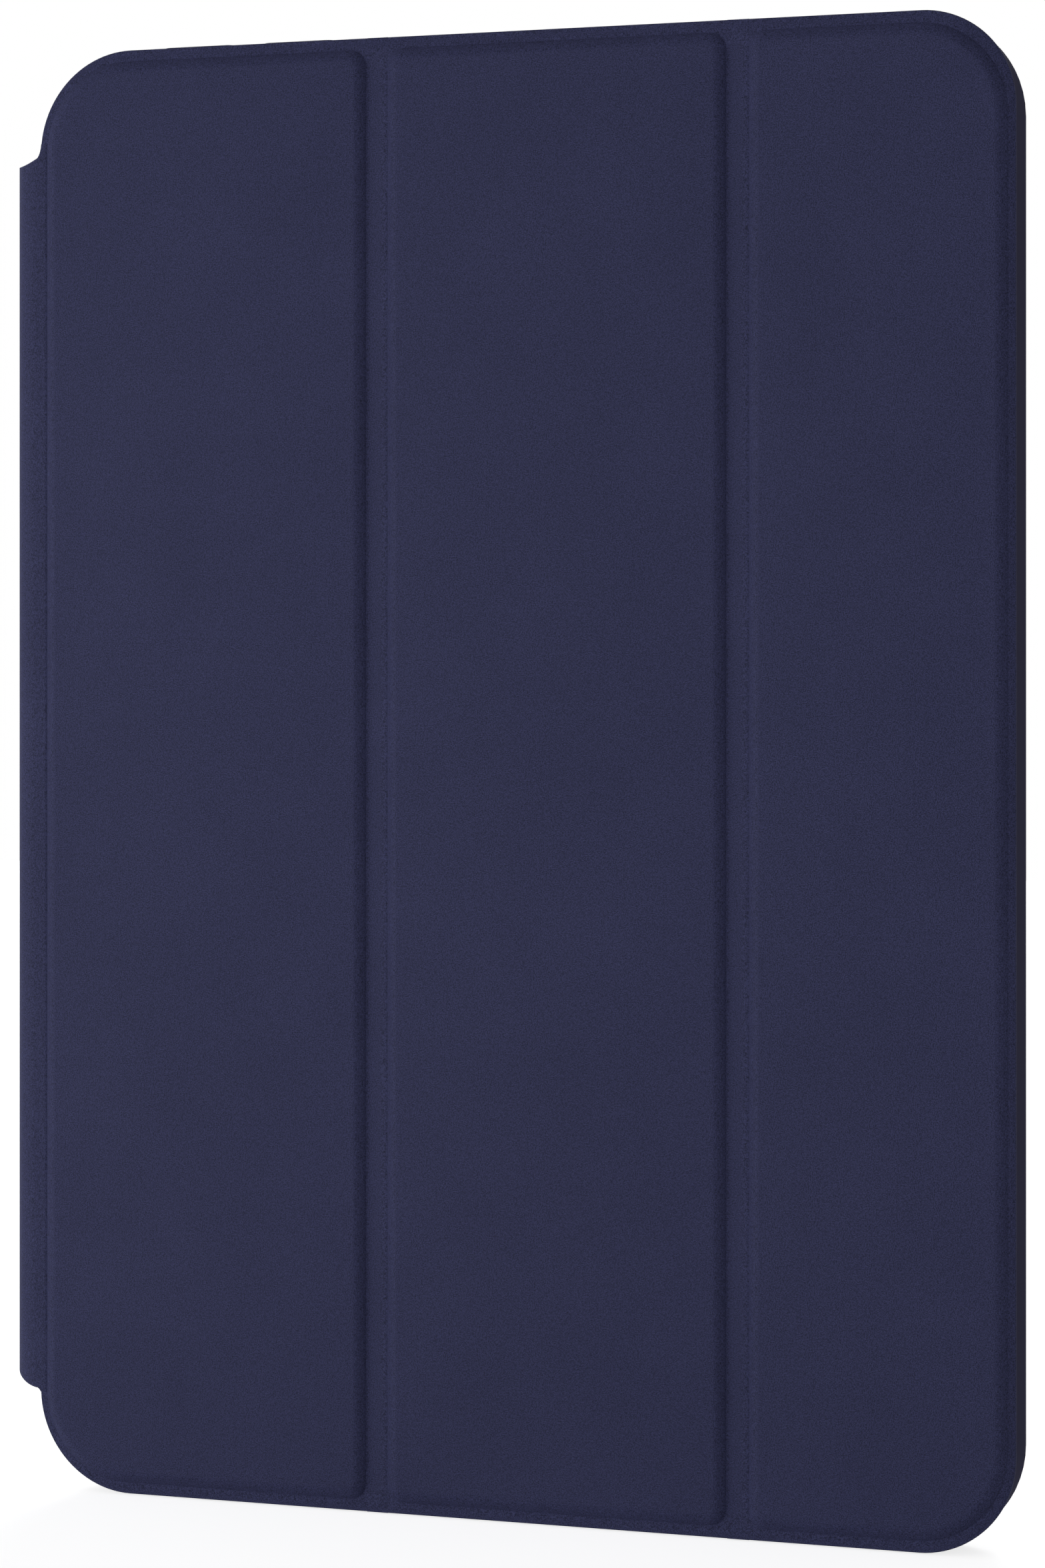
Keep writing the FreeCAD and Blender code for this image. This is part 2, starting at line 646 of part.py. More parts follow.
def build_panel_skin(number, left, right, cover_corners, pad_corners, board_corners):
    body = new_body(f"panel_{number}_skin", y="places.skin_inner")
    sheet = new_sketch(body, "sheet", "XZ_Plane")
    outline(sheet, left, right, "places.cover_low", "places.cover_high", cover_corners)
    pad(body, sheet, "sizes.skin")
    if number == 1:
        spine_notch(body, "sizes.skin")
    raised = new_sketch(body, "raised", "XZ_Plane", z="sizes.skin")
    sides = (f"places.pad_{number}_left", f"places.pad_{number}_right")
    outline(raised, *sides, "places.pad_low", "places.pad_high", pad_corners)
    solid = pad(body, raised, "sizes.board")
    solid.setExpression("TaperAngle", "-sizes.shoulder_slope")
    doc.recompute()
    top = flat_edges(solid.Shape, "Y", -value("sizes.skin") - value("sizes.board"))
    round_edges(body, solid, top, "places.shoulder_round")
    hollow = new_sketch(body, "board_hollow", "XZ_Plane")
    board_outline(hollow, number, board_corners)
    pocket(body, hollow, "sizes.board", reverse=True)
    return body


def board_outline(sketch, number, corners):
    sides = (f"places.board_{number}_left", f"places.board_{number}_right")
    outline(sketch, *sides, "places.board_low", "places.board_high", corners)


def build_panel_board(number, corners, pockets):
    body = new_body(f"panel_{number}_board", y="places.skin_inner")
    plate = new_sketch(body, "plate", "XZ_Plane")
    board_outline(plate, number, corners)
    pad(body, plate, "sizes.board")
    for index, (x, z, across, up) in enumerate(pockets):
        hole = new_sketch(body, f"magnet_pocket_{index}", "XZ_Plane", x=x, y=z)
        centred_outline(hole, across, up)
        pocket(body, hole, "sizes.board", reverse=True)
    return body


def build_panel_lining(number, left, right, corners):
    body = new_body(f"panel_{number}_lining", y="places.cover_inner")
    sheet = new_sketch(body, "sheet", "XZ_Plane")
    outline(sheet, left, right, "places.lining_low", "places.lining_high", corners)
    pad(body, sheet, "sizes.lining")
    if number == 1:
        spine_notch(body, "sizes.lining")
    return body


def magnet_height(row):
    return f"places.cover_middle + {row} * sizes.magnet_spacing"


def magnet_pockets(x):
    size = ("places.magnet_pocket_width", "places.magnet_pocket_length")
    return [(x, magnet_height(row), *size) for row in MAGNET_ROWS]


def build_magnets(label, x):
    """A row of flat bar magnets, one solid each, in one piece of the list."""
    bars = []
    for row in MAGNET_ROWS:
        bar = box(
            f"{label}_bar_{row + 1}",
            ("sizes.magnet_width", "sizes.board", "sizes.magnet_length"),
            (
                f"{x} - sizes.magnet_width / 2",
                "places.skin_inner - sizes.board",
                f"{magnet_height(row)} - sizes.magnet_length / 2",
            ),
        )
        bars.append(bar)
    group = doc.addObject("Part::Compound", label)
    group.Label = label
    group.Links = bars
    return group


# Assembly: every piece in the list is written to a file of its own

pieces = [build_tray_rim(), build_tray_floor(), build_tray_liner(), build_back_skin()]
pieces += [build_key("volume_up"), build_key("volume_down")]
pieces += [
    build_spine_layer("spine_skin", "sizes.spine_round", "places.stiffener_round"),
    build_spine_layer("spine_stiffener", "places.stiffener_round", "places.spine_lining_round"),
    build_spine_layer("spine_lining", "places.spine_lining_round", "places.spine_hollow_round"),
]

# Leather and lining that bend: the two creases of the spine and the two grooves of the cover
pieces += [
    box(
        "spine_back_hinge_skin",
        ("places.back_hinge_width", "sizes.back_skin", "places.spine_length"),
        ("places.spine_seam", "places.tray_back", "places.spine_low"),
    ),
    box(
        "spine_front_hinge_skin",
        ("places.front_hinge_width", "sizes.skin", "places.spine_length"),
        ("places.spine_seam", "places.cover_front", "places.spine_low"),
    ),
    box(
        "spine_front_hinge_lining",
        ("places.front_hinge_width", "sizes.lining", "places.spine_length"),
        ("places.spine_seam", "places.skin_inner", "places.spine_low"),
    ),
]
for fold in (1, 2):
    fold_left = f"places.pad_{fold}_right"
    pieces.append(
        box(
            f"fold_{fold}_skin",
            ("sizes.groove", "sizes.skin", "places.cover_height"),
            (fold_left, "places.cover_front", "places.cover_low"),
        )
    )
    pieces.append(
        box(
            f"fold_{fold}_lining",
            ("sizes.groove", "sizes.lining", "places.lining_height"),
            (fold_left, "places.skin_inner", "places.lining_low"),
        )
    )


def at_corners(cell, names):
    """The same radius at the named corners, in the order low left, low right, high right, high left."""
    order = ("low_left", "low_right", "high_right", "high_left")
    return [cell if corner in names else None for corner in order]


def mixed_corners(outer, fold, names):
    """One radius at the cover's own corners and another at the corners beside a groove."""
    return [corner or fold for corner in at_corners(outer, names)]


OUTER_CORNERS = {1: ("low_left", "high_left"), 2: (), 3: ("low_right", "high_right")}
SKIN_SIDES = {
    1: ("places.cover_left", "places.pad_1_right"),
    2: ("places.pad_2_left", "places.pad_2_right"),
    3: ("places.pad_3_left", "places.cover_right"),
}
LINING_SIDES = {
    1: ("places.lining_left", "places.pad_1_right"),
    2: ("places.pad_2_left", "places.pad_2_right"),
    3: ("places.pad_3_left", "places.lining_right"),
}
sleep_pocket = ("places.closure_magnet_x", "places.sleep_magnet_z") + ("places.sleep_pocket_size",) * 2
POCKETS = {
    1: magnet_pockets("places.stand_magnet_x"),
    2: [],
    3: magnet_pockets("places.closure_magnet_x") + [sleep_pocket],
}
for panel, outer in OUTER_CORNERS.items():
    board_corners = mixed_corners("places.board_corner", "sizes.board_fold_corner", outer)
    pieces.append(
        build_panel_skin(
            panel,
            *SKIN_SIDES[panel],
            at_corners("places.cover_corner", outer),
            mixed_corners("places.pad_corner", "sizes.fold_corner", outer),
            board_corners,
        )
    )
    pieces.append(build_panel_board(panel, board_corners, POCKETS[panel]))
    lining_corners = at_corners("places.lining_corner", outer)
    pieces.append(build_panel_lining(panel, *LINING_SIDES[panel], lining_corners))

pieces.append(build_magnets("stand_magnets", "places.stand_magnet_x"))
pieces.append(build_magnets("closure_magnets", "places.closure_magnet_x"))
pieces.append(
    box(
        "sleep_magnet",
        ("sizes.sleep_magnet_size", "sizes.board", "sizes.sleep_magnet_size"),
        (
            "places.closure_magnet_x - sizes.sleep_magnet_size / 2",
            "places.skin_inner - sizes.board",
            "places.sleep_magnet_z - sizes.sleep_magnet_size / 2",
        ),
    )
)
doc.recompute()

# Checks, then one file for each piece
for item in doc.Objects:
    if "Invalid" in item.State or "Error" in item.State:
        raise RuntimeError(f"{item.Name} failed to recompute: {item.State}")
for piece in pieces:
    if piece.Shape.isNull() or not piece.Shape.isValid():
        raise RuntimeError(f"{piece.Label} has no valid shape")
os.makedirs("parts", exist_ok=True)
for piece in pieces:
    piece.Shape.exportStep(f"parts/{piece.Label}.step")
    print(f"{piece.Label}: {len(piece.Shape.Solids)} solid(s), {piece.Shape.Volume:.1f} mm3")
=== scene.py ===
import math

import bmesh
import bpy
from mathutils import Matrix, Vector


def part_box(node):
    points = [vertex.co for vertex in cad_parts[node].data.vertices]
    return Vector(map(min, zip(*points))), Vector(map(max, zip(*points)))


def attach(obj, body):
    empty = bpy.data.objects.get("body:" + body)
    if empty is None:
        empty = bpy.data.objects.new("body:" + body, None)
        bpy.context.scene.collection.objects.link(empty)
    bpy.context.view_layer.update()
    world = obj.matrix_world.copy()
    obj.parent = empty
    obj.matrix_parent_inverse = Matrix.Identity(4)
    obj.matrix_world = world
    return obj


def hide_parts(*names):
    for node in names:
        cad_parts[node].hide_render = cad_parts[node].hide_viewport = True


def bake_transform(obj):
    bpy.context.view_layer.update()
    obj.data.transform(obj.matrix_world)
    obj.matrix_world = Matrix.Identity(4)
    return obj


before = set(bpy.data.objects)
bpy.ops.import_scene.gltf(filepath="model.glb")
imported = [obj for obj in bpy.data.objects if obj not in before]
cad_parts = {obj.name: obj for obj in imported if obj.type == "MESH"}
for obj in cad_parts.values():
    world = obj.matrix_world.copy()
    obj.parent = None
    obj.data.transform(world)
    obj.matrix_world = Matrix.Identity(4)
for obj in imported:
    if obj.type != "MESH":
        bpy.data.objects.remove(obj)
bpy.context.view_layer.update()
scene = bpy.context.scene


# Tray rim: the moulded frame whose lip holds the tablet by its edges, and the dark strip behind the cover.
# It is soft polyurethane shot in one piece in a spark-eroded tool, and the cover's leather is bonded to
# its back. The tool leaves a dry, very fine grain, and the lip is a little paler where thumbs rub it.
MM = 0.001


def linear(hex_colour):
    """An sRGB hex colour as linear red, green, blue and alpha."""
    parts = [int(hex_colour[place : place + 2], 16) / 255 for place in (1, 3, 5)]
    return [c / 12.92 if c <= 0.04045 else ((c + 0.055) / 1.055) ** 2.4 for c in parts] + [1.0]


def add_node(tree, kind, settings, *links):
    """Adds a node. Settings name its sockets or properties, and each link is (socket, node, output)."""
    node = tree.nodes.new(kind)
    for name, value in settings.items():
        if isinstance(name, int) or name in node.inputs:
            node.inputs[name].default_value = value
        else:
            setattr(node, name, value)
    for socket, source, output in links:
        tree.links.new(source.outputs[output], node.inputs[socket])
    return node


def new_material(name):
    """A material with no nodes but the object's own coordinates, which all the patterns here read."""
    material = bpy.data.materials.new(name)
    material.use_nodes = True
    material.node_tree.nodes.clear()
    return material, material.node_tree, add_node(material.node_tree, "ShaderNodeTexCoord", {})


def dress_node(name, material):
    """Gives a carried-over CAD node its finish."""
    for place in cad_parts[name].material_slots:
        place.material = material


moulded_polyurethane, tree, place = new_material("moulded_polyurethane")
spark_grain = add_node(
    tree,
    "ShaderNodeTexNoise",
    {"Scale": 1 / (0.3 * MM), "Detail": 3.0, "Roughness": 0.6},
    ("Vector", place, "Object"),
)
flow_marks = add_node(
    tree, "ShaderNodeTexNoise", {"Scale": 1 / (25 * MM), "Detail": 2.0}, ("Vector", place, "Object")
)
rim_depth = add_node(tree, "ShaderNodeSeparateXYZ", {}, (0, place, "Object"))
RUBBED_DEPTH = 1.6 * MM
lip_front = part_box("tray_rim")[0].y
thumb_rub = add_node(
    tree,
    "ShaderNodeMapRange",
    {"From Min": lip_front + RUBBED_DEPTH, "From Max": lip_front, "To Min": 0.0, "To Max": 0.45},
    ("Value", rim_depth, "Y"),
)
even_tone = add_node(
    tree,
    "ShaderNodeMix",
    {"data_type": "RGBA", 6: linear("#343347"), 7: linear("#3A394E")},
    (0, flow_marks, 0),
)
rim_tone = add_node(
    tree, "ShaderNodeMix", {"data_type": "RGBA", 7: linear("#434259")}, (0, thumb_rub, 0), (6, even_tone, 2)
)
rim_gloss = add_node(
    tree, "ShaderNodeMapRange", {"To Min": 0.62, "To Max": 0.78}, ("Value", spark_grain, 0)
)
rim_bump = add_node(
    tree, "ShaderNodeBump", {"Strength": 0.35, "Distance": 0.02 * MM}, ("Height", spark_grain, 0)
)
rim_shader = add_node(
    tree,
    "ShaderNodeBsdfPrincipled",
    {"IOR": 1.5, "Specular IOR Level": 0.01},
    ("Base Color", rim_tone, 2),
    ("Roughness", rim_gloss, 0),
    ("Normal", rim_bump, 0),
)
add_node(tree, "ShaderNodeOutputMaterial", {}, ("Surface", rim_shader, 0))
dress_node("tray_rim", moulded_polyurethane)


# Tray floor: the stiff plate across the back of the tray, with the collar round the camera window.
# It is moulded polycarbonate with a finer, harder texture than the rim, welded into the rim's groove.
moulded_polycarbonate, tree, place = new_material("moulded_polycarbonate")
mould_texture = add_node(
    tree, "ShaderNodeTexNoise", {"Scale": 1 / (0.2 * MM), "Detail": 2.0}, ("Vector", place, "Object")
)
plate_flow = add_node(
    tree, "ShaderNodeTexNoise", {"Scale": 1 / (40 * MM), "Detail": 1.0}, ("Vector", place, "Object")
)
plate_tone = add_node(
    tree,
    "ShaderNodeMix",
    {"data_type": "RGBA", 6: linear("#333347"), 7: linear("#39394E")},
    (0, plate_flow, 0),
)
plate_gloss = add_node(
    tree, "ShaderNodeMapRange", {"To Min": 0.36, "To Max": 0.48}, ("Value", mould_texture, 0)
)
plate_bump = add_node(
    tree, "ShaderNodeBump", {"Strength": 0.2, "Distance": 0.01 * MM}, ("Height", mould_texture, 0)
)
plate_shader = add_node(
    tree,
    "ShaderNodeBsdfPrincipled",
    {"IOR": 1.58, "Specular IOR Level": 0.12},
    ("Base Color", plate_tone, 2),
    ("Roughness", plate_gloss, 0),
    ("Normal", plate_bump, 0),
)
add_node(tree, "ShaderNodeOutputMaterial", {}, ("Surface", plate_shader, 0))
dress_node("tray_floor", moulded_polycarbonate)


# Tray liner: the soft sheet that the tablet's back lies on, die-cut with a window for the camera.
# It is brushed microfibre on an adhesive backing, so its cut edge is slightly pressed down all round.
CORNER_STEPS = 24
WINDOW_STEPS = 96
EASE_STEPS = 4
SEAM_GAP = 0.0005 * MM
SHARP_TURN = math.radians(40)
CAMERA_X = 56.375 * MM
CAMERA_Z = 183.9 * MM
LINER_CORNER = 11.3 * MM
LINER_EASE = 0.1 * MM
LINER_WINDOW = 7.8 * MM


def rounded_ring(left, right, low, high, radii, depth):
    """Points round a rectangle: radii at its low left, low right, high right and high left corner."""
    ring = []
    turns = ((left, low, 180), (right, low, 270), (right, high, 0), (left, high, 90))
    for (x, z, turn), radius in zip(turns, radii):
        middle_x = x + radius if x == left else x - radius
        middle_z = z + radius if z == low else z - radius
        steps = CORNER_STEPS if radius > 0 else 0
        for step in range(steps + 1):
            angle = math.radians(turn + 90 * step / CORNER_STEPS)
            ring.append(
                (middle_x + radius * math.cos(angle), depth, middle_z + radius * math.sin(angle))
            )
    return ring


def window_ring(middle_x, middle_z, radius, depth):
    """Points round a circular window."""
    angles = [2 * math.pi * step / WINDOW_STEPS for step in range(WINDOW_STEPS)]
    return [
        (middle_x + radius * math.cos(angle), depth, middle_z + radius * math.sin(angle))
        for angle in angles
    ]


def eased_edge(front, back, ease):
    """(inset, depth) pairs round a sheet's edge, from its front face to its back face."""
    turns = [math.radians(90 * step / EASE_STEPS) for step in range(EASE_STEPS + 1)]
    near = [(ease * (1 - math.sin(t)), front + ease * (1 - math.cos(t))) for t in turns]
    return near + [(inset, front + back - depth) for inset, depth in reversed(near)]


def join_rings(bm, rings):
    """Faces between closed rings of points. Returns the edges of the first and of the last ring."""
    loops = [[bm.verts.new(point) for point in ring] for ring in rings]
    for loop, further in zip(loops, loops[1:]):
        for n in range(len(loop)):
            bm.faces.new((loop[n - 1], loop[n], further[n], further[n - 1]))
    ends = []
    for loop in (loops[0], loops[-1]):
        pairs = [(loop[n - 1], loop[n]) for n in range(len(loop))]
        ends.append([bm.edges.get(pair) or bm.edges.new(pair) for pair in pairs])
    return ends


def fill_between(bm, edges):
    """Fills flat rings with triangles, leaving what an inner ring encloses open."""
    bmesh.ops.triangle_fill(bm, use_beauty=True, edges=edges)


def finish_piece(name, bm, material):
    """Closes a mesh's seams, turns its faces outwards and makes it an object."""
    bmesh.ops.remove_doubles(bm, verts=bm.verts, dist=SEAM_GAP)
    bmesh.ops.recalc_face_normals(bm, faces=bm.faces)
    mesh = bpy.data.meshes.new(name)
    bm.to_mesh(mesh)
    bm.free()
    mesh.shade_smooth()
    mesh.set_sharp_from_angle(angle=SHARP_TURN)
    mesh.materials.append(material)
    piece = bpy.data.objects.new(name, mesh)
    scene.collection.objects.link(piece)
    return piece


def windowed_sheet(name, node, corner, ease, window_radius, material):
    """A flat sheet in a CAD node's place, with rounded corners, eased edges and the camera window."""
    low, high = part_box(node)
    bm = bmesh.new()
    outer = []
    window = []
    for inset, depth in eased_edge(low.y, high.y, ease):
        sides = (low.x + inset, high.x - inset, low.z + inset, high.z - inset)
        outer.append(rounded_ring(*sides, [corner - inset] * 4, depth))
        window.append(window_ring(CAMERA_X, CAMERA_Z, window_radius + inset, depth))
    outer_ends = join_rings(bm, outer)
    window_ends = join_rings(bm, window)
    fill_between(bm, outer_ends[0] + window_ends[0])
    fill_between(bm, outer_ends[1] + window_ends[1])
    return finish_piece(name, bm, material)


brushed_microfibre, tree, place = new_material("brushed_microfibre")
brushed_way = add_node(
    tree, "ShaderNodeMapping", {"Scale": (1.0, 1.0, 0.22)}, ("Vector", place, "Object")
)
fibres = add_node(
    tree,
    "ShaderNodeTexNoise",
    {"Scale": 1 / (0.25 * MM), "Detail": 4.0, "Roughness": 0.7},
    ("Vector", brushed_way, 0),
)
nap = add_node(
    tree,
    "ShaderNodeTexNoise",
    {"Scale": 1 / (9 * MM), "Detail": 3.0, "Distortion": 0.6},
    ("Vector", place, "Object"),
)
nap_tone = add_node(
    tree,
    "ShaderNodeMix",
    {"data_type": "RGBA", 6: linear("#2E3043"), 7: linear("#3A3C50")},
    (0, nap, 0),
)
fibre_tone = add_node(
    tree,
    "ShaderNodeMix",
    {"data_type": "RGBA", "blend_type": "OVERLAY", 0: 0.55},
    (6, nap_tone, 2),
    (7, fibres, 0),
)
nap_bump = add_node(
    tree, "ShaderNodeBump", {"Strength": 0.55, "Distance": 0.06 * MM}, ("Height", fibres, 0)
)
microfibre_shader = add_node(
    tree,
    "ShaderNodeBsdfPrincipled",
    {
        "Roughness": 0.95,
        "Specular IOR Level": 0.15,
        "Sheen Weight": 0.12,
        "Sheen Roughness": 0.45,
        "Sheen Tint": linear("#8A8FB0"),
    },
    ("Base Color", fibre_tone, 2),
    ("Normal", nap_bump, 0),
)
add_node(tree, "ShaderNodeOutputMaterial", {}, ("Surface", microfibre_shader, 0))

tray_liner = windowed_sheet(
    "liner_sheet", "tray_liner", LINER_CORNER, LINER_EASE, LINER_WINDOW, brushed_microfibre
)
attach(tray_liner, "tray")
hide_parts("tray_liner")


# Back leather: the cover sheet carried round on to the tray's back, with a hole for the camera collar.
# It is navy polyurethane-coated leather, embossed with a fine pebble and bonded flat. The emboss gives a
# dull, even face with a soft bloom towards the light, and handling leaves faint wrinkles and mottling.
BACK_CORNER = 12.4 * MM
BACK_EASE = 0.25 * MM
BACK_WINDOW = 7.9 * MM
embossed_leather, tree, place = new_material("embossed_leather")
pebble = add_node(
    tree,
    "ShaderNodeTexVoronoi",
    {"feature": "SMOOTH_F1", "Scale": 1 / (0.42 * MM), "Smoothness": 0.35, "Randomness": 1.0},
    ("Vector", place, "Object"),
)
pores = add_node(
    tree, "ShaderNodeTexNoise", {"Scale": 1 / (0.14 * MM), "Detail": 0.0}, ("Vector", place, "Object")
)
wrinkle_way = add_node(
    tree,
    "ShaderNodeMapping",
    {"Rotation": (0.0, 0.35, 0.0), "Scale": (1.0, 1.0, 0.45)},
    ("Vector", place, "Object"),
)
wrinkles = add_node(
    tree,
    "ShaderNodeTexNoise",
    {"Scale": 1 / (4.5 * MM), "Detail": 3.0, "Roughness": 0.55, "Distortion": 0.4},
    ("Vector", wrinkle_way, 0),
)
mottling = add_node(
    tree, "ShaderNodeTexNoise", {"Scale": 1 / (14 * MM), "Detail": 2.0}, ("Vector", place, "Object")
)
dye_tone = add_node(
    tree,
    "ShaderNodeMix",
    {"data_type": "RGBA", 6: linear("#323450"), 7: linear("#383a58")},
    (0, mottling, 0),
)
grain_tone = add_node(
    tree,
    "ShaderNodeMix",
    {"data_type": "RGBA", "blend_type": "OVERLAY", 0: 0.92},
    (6, dye_tone, 2),
    (7, pores, 0),
)
grain_gloss = add_node(
    tree, "ShaderNodeMapRange", {"To Min": 0.54, "To Max": 0.7}, ("Value", pores, 0)
)
wrinkle_bump = add_node(
    tree, "ShaderNodeBump", {"Strength": 0.5, "Distance": 0.05 * MM}, ("Height", wrinkles, 0)
)
pebble_bump = add_node(
    tree,
    "ShaderNodeBump",
    {"Strength": 0.35, "Distance": 0.03 * MM},
    ("Height", pebble, 0),
    ("Normal", wrinkle_bump, 0),
)
pore_bump = add_node(
    tree,
    "ShaderNodeBump",
    {"Strength": 0.65, "Distance": 0.02 * MM},
    ("Height", pores, 0),
    ("Normal", pebble_bump, 0),
)
leather_shader = add_node(
    tree,
    "ShaderNodeBsdfPrincipled",
    {"IOR": 1.48, "Specular IOR Level": 0.06},
    ("Base Color", grain_tone, 2),
    ("Roughness", grain_gloss, 0),
    ("Normal", pore_bump, 0),
)
add_node(tree, "ShaderNodeOutputMaterial", {}, ("Surface", leather_shader, 0))

back_leather = windowed_sheet(
    "back_leather", "back_skin", BACK_CORNER, BACK_EASE, BACK_WINDOW, embossed_leather
)
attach(back_leather, "tray")
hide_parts("back_skin")


# Volume keys: two separate caps that slide in windows in the tray's top wall and press the tablet's keys.
# They are the rim's polyurethane in a harder grade, with a smoother, slightly shinier top.
hard_polyurethane, tree, place = new_material("hard_polyurethane")
key_grain = add_node(
    tree, "ShaderNodeTexNoise", {"Scale": 1 / (0.25 * MM), "Detail": 2.0}, ("Vector", place, "Object")
)
key_tone = add_node(
    tree,
    "ShaderNodeMix",
    {"data_type": "RGBA", 6: linear("#454458"), 7: linear("#4C4B60")},
    (0, key_grain, 0),
)
key_gloss = add_node(
    tree, "ShaderNodeMapRange", {"To Min": 0.4, "To Max": 0.52}, ("Value", key_grain, 0)
)
key_bump = add_node(
    tree, "ShaderNodeBump", {"Strength": 0.2, "Distance": 0.01 * MM}, ("Height", key_grain, 0)
)
key_shader = add_node(
    tree,
    "ShaderNodeBsdfPrincipled",
    {"IOR": 1.5, "Specular IOR Level": 0.08},
    ("Base Color", key_tone, 2),
    ("Roughness", key_gloss, 0),
    ("Normal", key_bump, 0),
)
add_node(tree, "ShaderNodeOutputMaterial", {}, ("Surface", key_shader, 0))
for key in ("volume_up_button", "volume_down_button"):
    dress_node(key, hard_polyurethane)


# Spine: a curved strip that joins cover and back, made of three layers bonded together: the leather
# outside, a formed plastic stiffener and the microfibre lining. Its ends sweep in from the cover's edge,
# the top one hollow and the bottom one rounded off.
spine_low, spine_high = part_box("spine_skin")
SEAM_X = spine_high.x
SPINE_ROUND = spine_high.x - spine_low.x
SKIN = 0.7 * MM
STIFFENER = 0.5 * MM
LINING = 0.6 * MM
STIFFENER_INSET = 0.25 * MM
LINING_INSET = 0.15 * MM
END_ROW = 0.2 * MM
ARC_STEPS = 20
TOP_SWEEP = (0.9, 2.45, -1.62)
BOTTOM_SWEEP = (0.27, 0.89, 1.42)


def swept_in(sweep, reach):
    """How far a spine's end is drawn in, by how far out it is: 0 at the crease and 1 at the side."""
    start, slope, curve = sweep
    return (start + slope * reach + curve * reach * reach) * MM


def spine_top(reach):
    """The height of the spine's top end."""
    return spine_high.z - swept_in(TOP_SWEEP, reach)


def spine_bottom(reach):
    """The height of the spine's bottom end."""
    return spine_low.z + swept_in(BOTTOM_SWEEP, reach)


def end_rows(bottom, top):
    """Heights along a strip: its two ends, and a row close to each that keeps the ends crisp."""
    return [bottom, bottom + END_ROW, top - END_ROW, top]


def spine_section(radius):
    """(x, y, reach) along the spine's section, from the front crease round to the back crease."""
    front_middle = spine_low.y + SPINE_ROUND
    back_middle = spine_high.y - SPINE_ROUND
    turns = [math.radians(90 * step / ARC_STEPS) for step in range(ARC_STEPS + 1)]
    front = [
        (SEAM_X - radius * math.sin(turn), front_middle - radius * math.cos(turn), math.sin(turn))
        for turn in turns
    ]
    return front + [(x, front_middle + back_middle - y, reach) for x, y, reach in reversed(front)]


def solid_from_grids(name, outer, inner, material):
    """A closed solid between two like grids of points, given as columns from bottom to top."""
    bm = bmesh.new()
    rings = []
    for near, far in zip(outer, inner):
        rings.append(list(near) + list(reversed(far)))
    ends = join_rings(bm, rings)
    for end in ends:
        bmesh.ops.contextual_create(bm, geom=end)
    return finish_piece(name, bm, material)


def spine_layer(name, node, outer_radius, inner_radius, end_inset, material):
    """One of the spine's layers, in a CAD node's place."""
    grids = []
    for radius in (outer_radius, inner_radius):
        columns = []
        for x, y, reach in spine_section(radius):
            rows = end_rows(spine_bottom(reach) + end_inset, spine_top(reach) - end_inset)
            columns.append([(x, y, z) for z in rows])
        grids.append(columns)
    piece = solid_from_grids(name, *grids, material)
    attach(piece, "spine")
    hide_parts(node)


formed_polypropylene, tree, place = new_material("formed_polypropylene")
drawn_streaks = add_node(
    tree, "ShaderNodeMapping", {"Scale": (1.0, 1.0, 0.05)}, ("Vector", place, "Object")
)
streaks = add_node(
    tree, "ShaderNodeTexNoise", {"Scale": 1 / (0.4 * MM), "Detail": 2.0}, ("Vector", drawn_streaks, 0)
)
strip_tone = add_node(
    tree,
    "ShaderNodeMix",
    {"data_type": "RGBA", 6: linear("#5A5B62"), 7: linear("#686970")},
    (0, streaks, 0),
)
strip_bump = add_node(
    tree, "ShaderNodeBump", {"Strength": 0.2, "Distance": 0.01 * MM}, ("Height", streaks, 0)
)
strip_shader = add_node(
    tree,
    "ShaderNodeBsdfPrincipled",
    {"Roughness": 0.45, "IOR": 1.49},
    ("Base Color", strip_tone, 2),
    ("Normal", strip_bump, 0),
)
add_node(tree, "ShaderNodeOutputMaterial", {}, ("Surface", strip_shader, 0))

stiffener_round = SPINE_ROUND - SKIN
lining_round = stiffener_round - STIFFENER
spine_layer(
    "spine_leather", "spine_skin", SPINE_ROUND, stiffener_round, 0.0, embossed_leather
)
spine_layer(
    "spine_strip",
    "spine_stiffener",
    stiffener_round,
    lining_round,
    STIFFENER_INSET,
    formed_polypropylene,
)
spine_layer(
    "spine_cloth",
    "spine_lining",
    lining_round,
    lining_round - LINING,
    LINING_INSET,
    brushed_microfibre,
)


# Creases: the leather and lining run on from the spine to the cover, and the leather to the back, with
# nothing stiff between them, so that they bend. They are the same sheets, cut in one with their neighbours.
CREASE_STEPS = 28
CREASE_LINE = 0.09 * MM
LINE_START = 0.75
HOLLOW_POWER = 1.7
BOTTOM_POWER = 2.5
COVER_CORNER = 13.7 * MM
NOTCH_LOW = 13.4 * MM
NOTCH_HIGH = 185.9 * MM
cover_low, cover_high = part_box("panel_1_skin")
cover_left = -67.125 * MM
back_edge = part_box("back_skin")[0].x


def cover_edge(z, corner_z):
    """Where the cover's left edge is at a height in the rounded corner whose middle is at corner_z."""
    return cover_left + COVER_CORNER - math.sqrt(COVER_CORNER * COVER_CORNER - (z - corner_z) ** 2)


